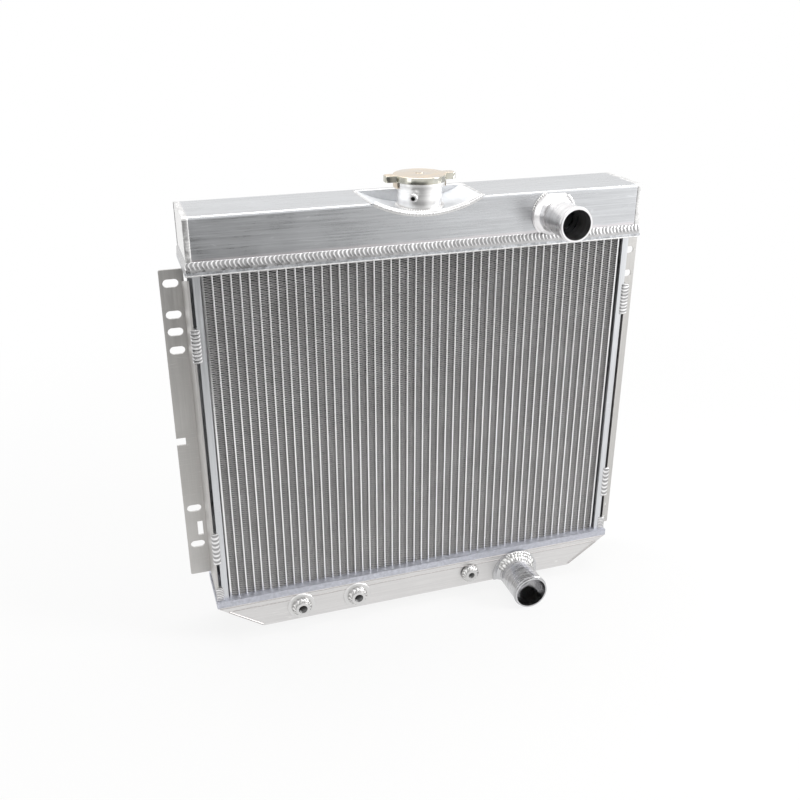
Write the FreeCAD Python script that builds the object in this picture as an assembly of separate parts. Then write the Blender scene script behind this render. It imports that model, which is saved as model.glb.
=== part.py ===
import FreeCAD, Part
import math
import os

# Down-flow aluminium car radiator: two welded tanks, a brazed tube-and-fin core, side brackets
# and a pressure cap.  Millimetres, X to the right, Y to the rear, Z up.
# The origin is the centre of the lower tank's bottom face; the hose necks point to -Y.

Vector = FreeCAD.Vector
ALONG_X = Vector(1, 0, 0)
ALONG_Y = Vector(0, 1, 0)
TO_FRONT = Vector(0, -1, 0)
UP = Vector(0, 0, 1)

# Core
tube_count = 49
tube_pitch = 10.0
tube_thickness = 2.0
tube_width = 26.0
tube_row_gap = 4.0
core_height = 415.7
fin_recess = 0.5
fin_end_gap = 1.5
side_plate_thickness = 2.0
braze_gap = 0.1
tube_projection = 3.0

# Tanks and headers
sheet = 2.0
lower_tank_height = 38.0
lower_tank_depth = 73.0
lower_end_run = 55.4
lower_header_rim = 6.5
header_overhang = 1.7
header_rim_thickness = 2.2
weld_gap = 0.1
upper_tank_depth = 80.0
upper_tank_height = 60.4
upper_tank_corner = 3.0
upper_header_rim = 2.5
weld_bead_height = 10.8
weld_bead_throat = 2.0

# Side channels and brackets
channel_gap = 2.3
channel_flange = 7.7
channel_sheet = 1.5
channel_depth = 63.2
bracket_gap = 3.6
bracket_sheet = 2.5
bracket_corner = 2.0
weld_pad_depth = 3.5
weld_pad_bulge = 0.8
slot_length = 17.5
slot_width = 9.6
slot_edge_margin = 3.6
left_flange_width = 27.2
right_flange_width = 47.5
flange_bottom_margin = 4.5
flange_top_margin = 10.2
left_web_front_drop = 6.7
left_web_rear_drop = 25.2
left_upper_slots = (15.7, 52.6, 73.0, 95.5)
left_lower_slots = (95.6, 43.6)
edge_notch_rise = 189.0
edge_notch_depth = 11.0
window_rise = 66.0
window_length = 20.0
window_width = 6.5
window_from_web = 4.0
right_flange_drop = 33.5
right_web_drop = 61.2
right_upper_slots = (27.1, 58.4)
right_lower_slots = (28.0, 7.0)
header_clearance = 1.0
top_pad_length = 39.4
middle_pad_rise = 52.6
middle_pad_length = 43.6
foot_pad_length = 18.8

# Inlet neck, for a 38 mm hose
inlet_from_end = 113.8
inlet_drop = 26.8
inlet_radius = 19.05
inlet_length = 57.0
inlet_foot_radius = 27.0
inlet_foot_thickness = 1.2
inlet_flare_length = 10.0
inlet_flare_width = 6.0
neck_wall = 1.9
neck_bead_height = 1.1
neck_bead_length = 3.4
neck_lip_length = 2.6
neck_spigot = 3.0

# Outlet neck, for a 45 mm hose
outlet_x = 132.0
outlet_height = 8.0
outlet_radius = 22.25
outlet_length = 54.0
outlet_foot_radius = 32.0
outlet_foot_thickness = 2.5
outlet_flare_length = 6.0
outlet_flare_width = 5.0
outlet_foot_margin = 0.8

# Cooler fittings, drain boss and oil cooler
fitting_height = 19.5
cooler_fitting_x = (-164.2, -91.0)
fitting_disc_radius = 17.0
fitting_disc_thickness = 2.0
fitting_boss_radius = 9.0
fitting_boss_length = 9.5
fitting_bore_radius = 5.6
fitting_spigot_radius = 7.6
drain_x = 65.5
drain_boss_radius = 8.0
drain_boss_length = 8.5
drain_bore_radius = 4.2
drain_spigot_radius = 6.0
cooler_standoff = 4.0
cooler_depth = 34.0
cooler_height = 20.0
cooler_overhang = 20.0
cooler_plate_count = 5
cooler_plate_gap = 1.6
cooler_port_depth = 8.0
cooler_port_radius = 4.8

# Filler saddle and neck
saddle_half_chord = 62.0
saddle_depth = 15.0
saddle_rear = 27.4
filler_y = -8.0
filler_radius = 25.0
filler_wall = 4.5
filler_height = 31.4
filler_lip_radius = 28.2
filler_lip_height = 6.0
filler_notch_angle = 40.0
filler_notch_floor = 0.3
notch_headings = (0, 180)
seat_depth = 20.0
seat_thickness = 1.5
seat_bore_radius = 15.5
filler_foot = 5.0
nipple_angle = 30.0
nipple_drop = 14.0
nipple_radius = 3.95
nipple_bore_radius = 2.4
nipple_reach = 38.0
nipple_bead_height = 0.6
nipple_bead_length = 2.0

# Pressure cap
cap_sheet = 1.2
cap_skirt_clearance = 0.4
cap_skirt = 8.2
cap_ear_reach = 41.2
cap_ear_width = 20.0
cap_ear_drop = 11.0
tongue_angle = 30.0
tongue_clearance = 0.3
cap_hole_clearance = 0.05
rivet_radius = 3.0
rivet_head_radius = 5.0
rivet_head_height = 1.0
diaphragm_thickness = 0.5
diaphragm_rise = 5.7
diaphragm_radius = 27.0
diaphragm_crown_radius = 14.5
diaphragm_dish_radius = 16.5
bell_radius = 13.8
bell_wall = 0.8
bell_lift = 4.5
bell_lip = 0.65
pressure_plate_radius = 17.8
pressure_plate_thickness = 1.0
guide_radius = 12.2
guide_wall = 0.8
guide_gap = 0.3
guide_curl = 0.6
seal_radius = 18.5
seal_thickness = 2.0
seal_bore_radius = 5.0
vacuum_disc_radius = 7.0
vacuum_disc_thickness = 1.1
vacuum_stem_radius = 1.5
vacuum_stem_height = 10.0
vacuum_collar_radius = 4.8
vacuum_hole_radius = 3.0
vacuum_gap = 0.3
pressure_spring_radius = 9.4
pressure_spring_wire = 1.6
pressure_spring_turns = 3
vacuum_spring_radius = 3.9
vacuum_spring_wire = 0.6
vacuum_spring_turns = 2
coil_steps = 12
coil_gap = 0.3

# Levels and faces worked out from the sizes above
core_bottom = lower_tank_height + lower_header_rim + sheet
core_top = core_bottom + core_height
tank_bottom = core_top + sheet
tank_top = tank_bottom + upper_tank_height
core_half_depth = tube_width + tube_row_gap / 2
fin_width = tube_pitch - tube_thickness
core_half_width = (tube_count + 1) * tube_pitch / 2 - tube_thickness / 2
plate_outer = core_half_width + side_plate_thickness
channel_inner = plate_outer + channel_gap
channel_outer = channel_inner + channel_flange
bracket_inner = channel_outer + bracket_gap
bracket_outer = bracket_inner + bracket_sheet
header_length = 2 * (bracket_outer + header_overhang)
upper_tank_length = header_length - 2 * (header_rim_thickness + weld_gap)
lower_tank_bottom_length = header_length - 2 * lower_end_run
channel_half_depth = channel_depth / 2
lower_front = -lower_tank_depth / 2
upper_front = -upper_tank_depth / 2
flange_bottom = core_bottom + flange_bottom_margin
flange_top = core_top - flange_top_margin
right_flange_bottom = core_bottom - right_flange_drop
right_web_top = core_top - right_web_drop
weld_top = tank_bottom + upper_header_rim + weld_bead_height
inlet_height = tank_top - inlet_drop
inlet_x = upper_tank_length / 2 - inlet_from_end
saddle_bottom = tank_top - saddle_depth
saddle_radius = (saddle_half_chord ** 2 + saddle_depth ** 2) / (2 * saddle_depth)
filler_top = saddle_bottom + filler_height
filler_notch_radius = filler_radius + filler_notch_floor
lip_bottom = filler_top - filler_lip_height
nipple_height = filler_top - nipple_drop
seat_height = filler_top - seat_depth
bell_top = filler_top + diaphragm_rise
bell_ceiling = bell_top - bell_wall
cap_bottom_face = bell_top + diaphragm_thickness
cap_top = cap_bottom_face + cap_sheet
cap_skirt_bottom = cap_top - cap_skirt
cap_skirt_inner = filler_lip_radius + cap_skirt_clearance
cap_radius = cap_skirt_inner + cap_sheet
plate_bottom = seat_height + seal_thickness
plate_top = plate_bottom + pressure_plate_thickness
bell_bottom = plate_top + bell_lift
guide_top = bell_bottom + bell_wall + guide_gap + guide_wall
vacuum_disc_top = seat_height - vacuum_gap
vacuum_collar_top = vacuum_disc_top + vacuum_stem_height
vacuum_collar_bottom = vacuum_collar_top - vacuum_disc_thickness


def box(x0, x1, y0, y1, z0, z1):
    """A box between two corners."""
    return Part.makeBox(x1 - x0, y1 - y0, z1 - z0, Vector(x0, y0, z0))


def prism(points, depth):
    """A flat outline, given as vectors, pushed along depth."""
    return Part.Face(Part.makePolygon(points + points[:1])).extrude(depth)


def spun(profile, origin, axis):
    """A ring or disc: (radius, height along axis) corners turned about the axis."""
    side = UP if abs(axis.z) < 0.5 else ALONG_X
    points = [origin + side * r + axis * h for r, h in profile]
    return Part.Face(Part.makePolygon(points + points[:1])).revolve(origin, axis, 360)


def mirrored(shape, sign):
    """The shape on the right (+1) or its mirror image on the left (-1)."""
    return shape if sign > 0 else shape.mirror(Vector(0, 0, 0), ALONG_X)


def save(name, shapes):
    """Write one node's STEP file."""
    shape = shapes[0] if len(shapes) == 1 else Part.makeCompound(shapes)
    shape.exportStep("parts/" + name + ".step")


def tube_centres():
    """X of each tube's centre, from left to right."""
    first = -(tube_count - 1) * tube_pitch / 2
    return [first + i * tube_pitch for i in range(tube_count)]


def tube_rows():
    """The front and rear edge of the front row, then of the rear row."""
    return [(-core_half_depth, -tube_row_gap / 2), (tube_row_gap / 2, core_half_depth)]


def tubes(row):
    """One row of flat tubes, their ends standing through both headers."""
    y0, y1 = tube_rows()[row]
    z0 = core_bottom - sheet - tube_projection
    z1 = core_top + sheet + tube_projection
    half = tube_thickness / 2
    return [box(x - half, x + half, y0, y1, z0, z1) for x in tube_centres()]


def fin_strips():
    """The space that each folded fin strip fills between two tubes."""
    depth = core_half_depth - fin_recess
    left = -core_half_width
    z0 = core_bottom + fin_end_gap
    z1 = core_top - fin_end_gap
    strips = []
    for i in range(tube_count + 1):
        x0 = left + i * tube_pitch
        strips.append(box(x0, x0 + fin_width, -depth, depth, z0, z1))
    return strips


def side_plate(sign):
    """The flat sheet brazed on the outermost fin strip."""
    depth = core_half_depth - fin_recess
    plate = box(core_half_width, plate_outer, -depth, depth, core_bottom, core_top)
    return mirrored(plate, sign)


def tube_slots(z0, z1):
    """Cutters for the slots that the tubes stand in."""
    half = tube_thickness / 2 + braze_gap
    cutters = []
    for y0, y1 in tube_rows():
        for x in tube_centres():
            cutters.append(box(x - half, x + half, y0 - braze_gap, y1 + braze_gap, z0, z1))
    return cutters


def header_tray(half_depth, z_plate, z_rim):
    """A header: a slotted plate with a rim all round, towards its tank."""
    half = header_length / 2
    wall = header_rim_thickness
    low, high = min(z_plate, z_rim), max(z_plate, z_rim)
    tray = box(-half, half, -half_depth, half_depth, low, high)
    step = sheet if z_rim > z_plate else -sheet
    inner = sorted((z_plate + step, z_rim))
    hollow = box(-half + wall, half - wall, -half_depth + wall, half_depth - wall, inner[0], inner[1])
    slot_levels = sorted((z_plate - step, z_plate + 2 * step))
    return tray.cut(hollow).cut(tube_slots(*slot_levels))


def upper_header():
    """The header under the upper tank; its rim stands outside the tank's wall."""
    half_depth = upper_tank_depth / 2 + weld_gap + header_rim_thickness
    return header_tray(half_depth, core_top, tank_bottom + upper_header_rim)


def lower_header():
    """The header on the lower tank; its rim stands on the tank's wall."""
    return header_tray(lower_tank_depth / 2, core_bottom, lower_tank_height)


def upper_header_weld():
    """The weld bead on the header's rim, all round the upper tank."""
    z0 = tank_bottom + upper_header_rim
    x = upper_tank_length / 2
    y = upper_tank_depth / 2
    ring = box(-x - weld_bead_throat, x + weld_bead_throat, -y - weld_bead_throat, y + weld_bead_throat,
               z0, weld_top)
    top_edges = [e for e in ring.Edges if e.CenterOfMass.z > weld_top - 0.01]
    ring = ring.makeChamfer(weld_bead_throat * 0.7, top_edges)
    return ring.cut(box(-x, x, -y, y, z0, weld_top))


def upper_tank_section(inset):
    """The upper tank's outline seen from its end, with both top corners rounded."""
    y = upper_tank_depth / 2 - inset
    top = tank_top - inset
    r = upper_tank_corner - min(inset, upper_tank_corner - 0.5)
    bend = r * (1 - math.sqrt(0.5))
    start = -upper_tank_length / 2
    corner = [Vector(start, y, tank_bottom), Vector(start, y, top - r),
              Vector(start, y - bend, top - bend), Vector(start, y - r, top)]
    other = [Vector(start, -p.y, p.z) for p in corner]
    edges = [Part.makeLine(corner[0], corner[1]),
             Part.Arc(corner[1], corner[2], corner[3]).toShape(),
             Part.makeLine(corner[3], other[3]),
             Part.Arc(other[3], other[2], other[1]).toShape(),
             Part.makeLine(other[1], other[0]),
             Part.makeLine(other[0], corner[0])]
    return Part.Face(Part.Wire(edges))


def saddle_space():
    """The bite that the filler saddle takes out of the upper tank, and the scoop left open in it."""
    centre_height = saddle_bottom + saddle_radius
    front = upper_front
    bite = Part.makeCylinder(saddle_radius + sheet, saddle_rear + sheet - front,
                             Vector(0, front, centre_height), ALONG_Y)
    scoop = Part.makeCylinder(saddle_radius, saddle_rear - front, Vector(0, front, centre_height), ALONG_Y)
    reach = saddle_half_chord * 2
    below_top = box(-reach, reach, front, saddle_rear + sheet, saddle_bottom - sheet, tank_top)
    return bite.common(below_top), scoop.common(below_top)


def hole_to_front(x, z, radius, front, depth):
    """A round cutter through a tank's front wall."""
    return Part.makeCylinder(radius, depth + 2, Vector(x, front + depth + 1, z), TO_FRONT)


def upper_tank():
    """The folded front, top and rear of the upper tank."""
    length = Vector(upper_tank_length, 0, 0)
    shell = upper_tank_section(0).extrude(length).cut(upper_tank_section(sheet).extrude(length))
    half = upper_tank_length / 2
    below = box(-half, half, upper_front + sheet, -upper_front - sheet, tank_bottom, tank_bottom + sheet)
    shell = shell.cut(below)
    for sign in (-1, 1):
        shell = shell.cut(end_space(sign))
    shell = shell.cut(saddle_space()[0])
    return shell.cut(hole_to_front(inlet_x, inlet_height, inlet_radius + weld_gap, upper_front, sheet))


def end_space(sign):
    """The slice at one end of the upper tank that its end plate takes."""
    half = upper_tank_length / 2
    deep = upper_tank_depth
    return mirrored(box(half - sheet, half, -deep, deep, tank_bottom, tank_top), sign)


def upper_tank_end(sign):
    """A flat end plate with the tank's outline."""
    whole = upper_tank_section(0).extrude(Vector(upper_tank_length, 0, 0))
    return whole.common(end_space(sign))


def trapezoid(inset, y0, y1):
    """The lower tank's tapering outline, moved in by the wall on its ends and bottom."""
    top_half = header_length / 2
    bottom_half = lower_tank_bottom_length / 2
    run = top_half - bottom_half
    slope = math.hypot(run, lower_tank_height) / lower_tank_height
    shift = inset * slope
    at_bottom = bottom_half + run * inset / lower_tank_height - shift
    points = [Vector(-top_half + shift, y0, lower_tank_height), Vector(-at_bottom, y0, inset),
              Vector(at_bottom, y0, inset), Vector(top_half - shift, y0, lower_tank_height)]
    return prism(points, Vector(0, y1 - y0, 0))


def outlet_port(y0, y1):
    """The opening between the outlet neck and the lower tank: its bore above the tank's bottom."""
    origin = Vector(outlet_x, y0, outlet_height)
    bore = Part.makeCylinder(outlet_radius - neck_wall, y1 - y0, origin, ALONG_Y)
    floor = sheet + outlet_foot_margin
    r = outlet_radius
    above = box(outlet_x - r, outlet_x + r, y0, y1, floor, outlet_height + r)
    return bore.common(above)


def lower_tank():
    """The folded front, bottom and rear of the lower tank."""
    rear = -lower_front
    shell = trapezoid(0, lower_front, rear).cut(trapezoid(sheet, lower_front + sheet, rear - sheet))
    for sign in (-1, 1):
        shell = shell.cut(lower_tank_end(sign))
    shell = shell.cut(outlet_port(lower_front - 1, lower_front + sheet + 1))
    cooler_hole = fitting_spigot_radius + weld_gap
    drain_hole = drain_spigot_radius + weld_gap
    for x in cooler_fitting_x:
        shell = shell.cut(hole_to_front(x, fitting_height, cooler_hole, lower_front, sheet))
    return shell.cut(hole_to_front(drain_x, fitting_height, drain_hole, lower_front, sheet))


def lower_tank_end(sign):
    """A sloping end plate between the lower tank's front and rear walls."""
    y0 = lower_front + sheet
    plates = trapezoid(0, y0, -y0).cut(trapezoid(sheet, y0, -y0))
    start = lower_tank_bottom_length / 2
    side = box(start - sheet, header_length, y0, -y0, sheet, lower_tank_height)
    return plates.common(mirrored(side, sign))


def neck_profile(radius, length, foot_radius, foot_thickness, flare_width, flare_end, spigot):
    """Half section of a beaded hose neck, as (radius, distance out from the tank)."""
    bore = radius - neck_wall
    flare_middle = foot_thickness + (flare_end - foot_thickness) * 0.45
    bead_end = length - neck_lip_length
    bead_start = bead_end - neck_bead_length
    bead = radius + neck_bead_height
    quarter = neck_bead_length / 4
    return [(bore, -spigot), (radius, -spigot), (radius, 0), (foot_radius, 0),
            (foot_radius, foot_thickness), (radius + flare_width, foot_thickness),
            (radius + flare_width * 0.25, flare_middle),
            (radius, flare_end), (radius, bead_start), (bead, bead_start + quarter),
            (bead, bead_end - quarter), (radius, bead_end), (radius, length), (bore, length)]


def inlet_neck():
    """The upper hose neck: its spigot is in the tank's wall, its foot trimmed at the weld and the top."""
    flare_end = inlet_foot_thickness + inlet_flare_length
    profile = neck_profile(inlet_radius, inlet_length, inlet_foot_radius, inlet_foot_thickness,
                           inlet_flare_width, flare_end, sheet + neck_spigot)
    neck = spun(profile, Vector(inlet_x, upper_front, inlet_height), TO_FRONT)
    x0, x1 = inlet_x - inlet_foot_radius, inlet_x + inlet_foot_radius
    over_weld = box(x0, x1, upper_front - weld_bead_throat, upper_front, tank_bottom, weld_top)
    top_flat = tank_top - upper_tank_corner
    above_flat = top_flat + inlet_foot_radius
    over_corner = box(x0, x1, upper_front - flare_end, upper_front, top_flat, above_flat)
    return neck.cut(over_weld).cut(over_corner)


def outlet_neck():
    """The lower hose neck: it hangs below the tank, and a web closes it there."""
    origin = Vector(outlet_x, lower_front, outlet_height)
    flare_end = outlet_foot_thickness + outlet_flare_length
    profile = neck_profile(outlet_radius, outlet_length, outlet_foot_radius, outlet_foot_thickness,
                           outlet_flare_width, flare_end, 0)
    whole = spun(profile[3:] + [(outlet_radius - neck_wall, 0)], origin, TO_FRONT)
    wide = outlet_foot_radius
    face_band = box(outlet_x - wide, outlet_x + wide, lower_front - flare_end, lower_front,
                    outlet_foot_margin, lower_tank_height - outlet_foot_margin)
    pipe = Part.makeCylinder(outlet_radius, outlet_length, origin, TO_FRONT)
    front_part = box(outlet_x - wide, outlet_x + wide, lower_front - outlet_length, lower_front - flare_end,
                     outlet_height - wide, outlet_height + wide)
    neck = whole.common(face_band.fuse(front_part).fuse(pipe))
    closing = Part.makeCylinder(outlet_radius, outlet_foot_thickness, origin, TO_FRONT)
    port = outlet_port(lower_front - outlet_foot_thickness - 0.01, lower_front + 1)
    return neck.fuse(closing).cut(port).removeSplitter()


def threaded_fitting(x, radius, length, bore, spigot_radius, spigot, disc):
    """A boss on the lower tank's front face, with a pipe-thread bore right through."""
    profile = [(bore, -spigot), (spigot_radius, -spigot), (spigot_radius, 0)]
    if disc > 0:
        profile += [(disc, 0), (disc, fitting_disc_thickness), (radius, fitting_disc_thickness)]
    else:
        profile += [(radius, 0)]
    profile += [(radius, length), (bore, length)]
    return spun(profile, Vector(x, lower_front, fitting_height), TO_FRONT)


def cooler_fittings():
    """The two ports of the oil cooler inside the lower tank."""
    spigot = sheet + cooler_standoff
    return [threaded_fitting(x, fitting_boss_radius, fitting_boss_length, fitting_bore_radius,
                             fitting_spigot_radius, spigot, fitting_disc_radius) for x in cooler_fitting_x]


def drain_boss():
    """The drain port."""
    return threaded_fitting(drain_x, drain_boss_radius, drain_boss_length, drain_bore_radius,
                            drain_spigot_radius, sheet, 0)


def oil_cooler():
    """The plate cooler behind its two fittings: plates on a closed block at each end."""
    x0 = cooler_fitting_x[0] - cooler_overhang
    x1 = cooler_fitting_x[1] + cooler_overhang
    y0 = lower_front + sheet + cooler_standoff
    z0 = fitting_height - cooler_height / 2
    body = box(x0, x1, y0, y0 + cooler_depth, z0, z0 + cooler_height)
    pitch = (cooler_height + cooler_plate_gap) / cooler_plate_count
    end_block = 2 * fitting_disc_radius
    for i in range(1, cooler_plate_count):
        z = z0 + i * pitch - cooler_plate_gap
        body = body.cut(box(x0 + end_block, x1 - end_block, y0, y0 + cooler_depth, z, z + cooler_plate_gap))
    for x in cooler_fitting_x:
        body = body.cut(Part.makeCylinder(cooler_port_radius, cooler_port_depth,
                                          Vector(x, y0, fitting_height), ALONG_Y))
    return body


def side_channel(sign):
    """The channel beside the core, open to the outside, between the two headers."""
    y = channel_half_depth
    whole = box(channel_inner, channel_outer, -y, y, core_bottom, core_top)
    inside = box(channel_inner + channel_sheet, channel_outer, -y + channel_sheet, y - channel_sheet,
                 core_bottom, core_top)
    return mirrored(whole.cut(inside), sign)


def slot_cutter(x_outer, z):
    """A round-ended horizontal slot; x_outer is its outer end."""
    y0 = channel_half_depth - 2 * bracket_sheet
    r = slot_width / 2
    inner = x_outer - slot_length + r
    outer = x_outer - r
    cutter = box(inner, outer, y0, y0 + 3 * bracket_sheet, z - r, z + r)
    for x in (inner, outer):
        cutter = cutter.fuse(Part.makeCylinder(r, 3 * bracket_sheet, Vector(x, y0, z), ALONG_Y))
    return cutter.removeSplitter()


def bracket(web_outline, flange_outline, reach, slot_levels):
    """An angle bracket on the right: a web beside the channel and a slotted rear flange."""
    web = prism([Vector(bracket_inner, y, z) for y, z in web_outline], Vector(bracket_sheet, 0, 0))
    rear = channel_half_depth
    flange = prism([Vector(x, rear - bracket_sheet, z) for x, z in flange_outline],
                   Vector(0, bracket_sheet, 0))
    outer_corners = [e for e in flange.Edges
                     if e.CenterOfMass.x > reach - 0.01 and abs(e.tangentAt(0).y) > 0.9]
    flange = flange.makeFillet(bracket_corner, outer_corners)
    whole = web.fuse(flange)
    for z in slot_levels:
        whole = whole.cut(slot_cutter(reach - slot_edge_margin, z))
    return whole.removeSplitter()


def slot_heights(upper, lower, bottom):
    """Slot levels: some measured down from the flanges' top, some up from a flange's bottom."""
    return [flange_top - drop for drop in upper] + [bottom + rise for rise in lower]


def left_bracket():
    """The left bracket: six slots, a notch in its edge and a tall window near its bend."""
    front, rear = -channel_half_depth, channel_half_depth
    reach = bracket_inner + left_flange_width
    web = [(front, core_bottom), (rear, core_bottom), (rear, core_top - left_web_rear_drop),
           (front, core_top - left_web_front_drop)]
    flange = [(bracket_inner, flange_bottom), (reach, flange_bottom), (reach, flange_top),
              (bracket_inner, flange_top)]
    whole = bracket(web, flange, reach, slot_heights(left_upper_slots, left_lower_slots, flange_bottom))
    y0 = rear - 2 * bracket_sheet
    y1 = rear + bracket_sheet
    middle = flange_bottom + edge_notch_rise
    half = slot_width / 2
    notch = box(reach - edge_notch_depth, reach + 1, y0, y1, middle - half, middle + half)
    middle = flange_bottom + window_rise
    half = window_length / 2
    x0 = bracket_outer + window_from_web
    window = box(x0, x0 + window_width, y0, y1, middle - half, middle + half)
    return mirrored(whole.cut(notch).cut(window), -1)


def right_bracket():
    """The right bracket: wider, its web shorter, and its flange clear of the lower header."""
    front, rear = -channel_half_depth, channel_half_depth
    reach = bracket_inner + right_flange_width
    beside = header_length / 2 + header_clearance
    web = [(front, core_bottom), (rear, core_bottom), (rear, right_web_top), (front, right_web_top)]
    flange = [(bracket_inner, core_bottom), (beside, core_bottom), (beside, right_flange_bottom),
              (reach, right_flange_bottom), (reach, flange_top), (bracket_inner, flange_top)]
    slots = slot_heights(right_upper_slots, right_lower_slots, right_flange_bottom)
    return bracket(web, flange, reach, slots)


def bracket_welds(sign):
    """The weld pads that bridge a channel's front edge to its bracket's web."""
    front = -channel_half_depth
    middle = core_bottom + middle_pad_rise
    spans = [(core_bottom, core_bottom + foot_pad_length), (middle, middle + middle_pad_length),
             (right_web_top - top_pad_length, right_web_top)]
    pads = []
    for z0, z1 in spans:
        pad = box(channel_outer, bracket_inner, front, front + weld_pad_depth, z0, z1)
        crown = box(channel_outer - channel_sheet, bracket_outer, front - weld_pad_bulge, front, z0, z1)
        pads.append(mirrored(pad.fuse(crown).removeSplitter(), sign))
    return pads


def filler_saddle():
    """The scooped plate let into the upper tank, with a hole for the filler neck."""
    bite, scoop = saddle_space()
    foot = Vector(0, filler_y, tank_bottom)
    hole = Part.makeCylinder(filler_radius + weld_gap, upper_tank_height, foot, UP)
    return bite.cut(scoop).cut(hole)


def notch_sector(r0, r1, z0, z1, angle, middle):
    """A ring sector centred on a heading of middle degrees, for notches and tongues."""
    start = Vector(0, filler_y, z0)
    outer = Part.makeCylinder(r1, z1 - z0, start, UP, angle)
    sector = outer.cut(Part.makeCylinder(r0, z1 - z0, start, UP))
    sector.rotate(start, UP, middle - angle / 2)
    return sector


def filler_neck():
    """The filler neck: throat, inner seat and the cam lip, its flat top and two notches."""
    bore = filler_radius - filler_wall
    foot = saddle_bottom - sheet - filler_foot
    seat_bottom = seat_height - seat_thickness
    profile = [(bore, foot), (filler_radius, foot), (filler_radius, lip_bottom),
               (filler_lip_radius, lip_bottom), (filler_lip_radius, filler_top), (bore, filler_top),
               (bore, seat_height), (seat_bore_radius, seat_height), (seat_bore_radius, seat_bottom),
               (bore, seat_bottom)]
    neck = spun(profile, cap_axis(), UP)
    for middle in notch_headings:
        neck = neck.cut(notch_sector(filler_notch_radius, filler_lip_radius + 1, lip_bottom - 1,
                                     filler_top + 1, filler_notch_angle, middle))
    start, heading = nipple_line()
    return neck.cut(Part.makeCylinder(nipple_radius + weld_gap, filler_radius, start, heading))


def nipple_line():
    """The overflow nipple's axis: a point on the neck's axis and the way out."""
    angle = math.radians(nipple_angle)
    return Vector(0, filler_y, nipple_height), Vector(-math.sin(angle), -math.cos(angle), 0)


def overflow_nipple():
    """The overflow nipple in the side of the filler neck, with a hose bead."""
    origin, heading = nipple_line()
    start = filler_radius - filler_wall
    bead_end = nipple_reach - nipple_bead_length
    bead = nipple_radius + nipple_bead_height
    profile = [(nipple_bore_radius, start), (nipple_radius, start),
               (nipple_radius, bead_end - nipple_bead_length),
               (bead, bead_end - nipple_bead_length / 2), (nipple_radius, bead_end),
               (nipple_radius, nipple_reach), (nipple_bore_radius, nipple_reach)]
    return spun(profile, origin, heading)


def cap_axis():
    """A point on the cap's axis at zero height."""
    return Vector(0, filler_y, 0)


def cap_cover():
    """The cap's cover: disc, skirt, two grip ears and two tongues for the neck's notches."""
    inner = cap_skirt_inner
    hole = rivet_radius + cap_hole_clearance
    profile = [(hole, cap_bottom_face), (inner, cap_bottom_face), (inner, cap_skirt_bottom),
               (cap_radius, cap_skirt_bottom), (cap_radius, cap_bottom_face), (inner, cap_top),
               (hole, cap_top)]
    cover = spun(profile, cap_axis(), UP)
    half = cap_ear_width / 2
    for sign in (-1, 1):
        arm = box(inner, cap_ear_reach, filler_y - half, filler_y + half, cap_bottom_face, cap_top)
        leg = box(cap_ear_reach - cap_sheet, cap_ear_reach, filler_y - half, filler_y + half,
                  cap_top - cap_ear_drop, cap_top)
        cover = cover.fuse(mirrored(arm.fuse(leg), sign))
    tongue_top = lip_bottom - tongue_clearance
    tongue_inner = filler_notch_radius + tongue_clearance
    for middle in notch_headings:
        drop = notch_sector(inner, cap_radius, tongue_top - cap_sheet, cap_skirt_bottom, tongue_angle, middle)
        hook = notch_sector(tongue_inner, inner, tongue_top - cap_sheet, tongue_top, tongue_angle, middle)
        cover = cover.fuse(drop).fuse(hook)
    return cover.removeSplitter()


def cap_rivet():
    """The rivet that the cover turns on."""
    foot = bell_ceiling
    edge = rivet_head_radius - rivet_head_height / 2
    return spun([(0, foot - rivet_head_height), (rivet_head_radius, foot - rivet_head_height),
                 (rivet_head_radius, foot), (rivet_radius, foot), (rivet_radius, cap_top),
                 (rivet_head_radius, cap_top), (edge, cap_top + rivet_head_height),
                 (0, cap_top + rivet_head_height)], cap_axis(), UP)


def cap_diaphragm():
    """The dished spring disc that seals on the neck's flange."""
    low, high = filler_top, bell_top
    t = diaphragm_thickness
    crown, dish = diaphragm_crown_radius, diaphragm_dish_radius
    return spun([(rivet_radius, high), (crown, high), (dish, low), (diaphragm_radius, low),
                 (diaphragm_radius, low + t), (dish + t, low + t), (crown + t, high + t),
                 (rivet_radius, high + t)], cap_axis(), UP)


def cap_bell():
    """The cage round the pressure spring, with a lip that keeps the plate in."""
    inner = bell_radius - bell_wall
    lip = inner - bell_lip
    return spun([(rivet_radius, bell_ceiling), (inner, bell_ceiling), (inner, bell_bottom + bell_wall),
                 (lip, bell_bottom + bell_wall), (lip, bell_bottom), (bell_radius, bell_bottom),
                 (bell_radius, bell_top), (rivet_radius, bell_top)], cap_axis(), UP)


def cap_pressure_plate():
    """The pressure valve's plate and the sleeve that slides in the bell."""
    inner = guide_radius - guide_wall
    top = guide_top
    curl = guide_radius + guide_curl
    return spun([(vacuum_hole_radius, plate_bottom), (pressure_plate_radius, plate_bottom),
                 (pressure_plate_radius, plate_top), (guide_radius, plate_top),
                 (guide_radius, top - guide_wall), (curl, top - guide_wall), (curl, top), (inner, top),
                 (inner, plate_top), (vacuum_hole_radius, plate_top)], cap_axis(), UP)


def cap_pressure_seal():
    """The rubber washer under the pressure plate."""
    return spun([(seal_bore_radius, seat_height), (seal_radius, seat_height), (seal_radius, plate_bottom),
                 (seal_bore_radius, plate_bottom)], cap_axis(), UP)


def cap_vacuum_valve():
    """The vacuum valve: a disc under the seal, its stem and its spring collar."""
    bottom = vacuum_disc_top - vacuum_disc_thickness
    return spun([(0, bottom), (vacuum_disc_radius, bottom), (vacuum_disc_radius, vacuum_disc_top),
                 (vacuum_stem_radius, vacuum_disc_top), (vacuum_stem_radius, vacuum_collar_bottom),
                 (vacuum_collar_radius, vacuum_collar_bottom), (vacuum_collar_radius, vacuum_collar_top),
                 (0, vacuum_collar_top)], cap_axis(), UP)


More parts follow.
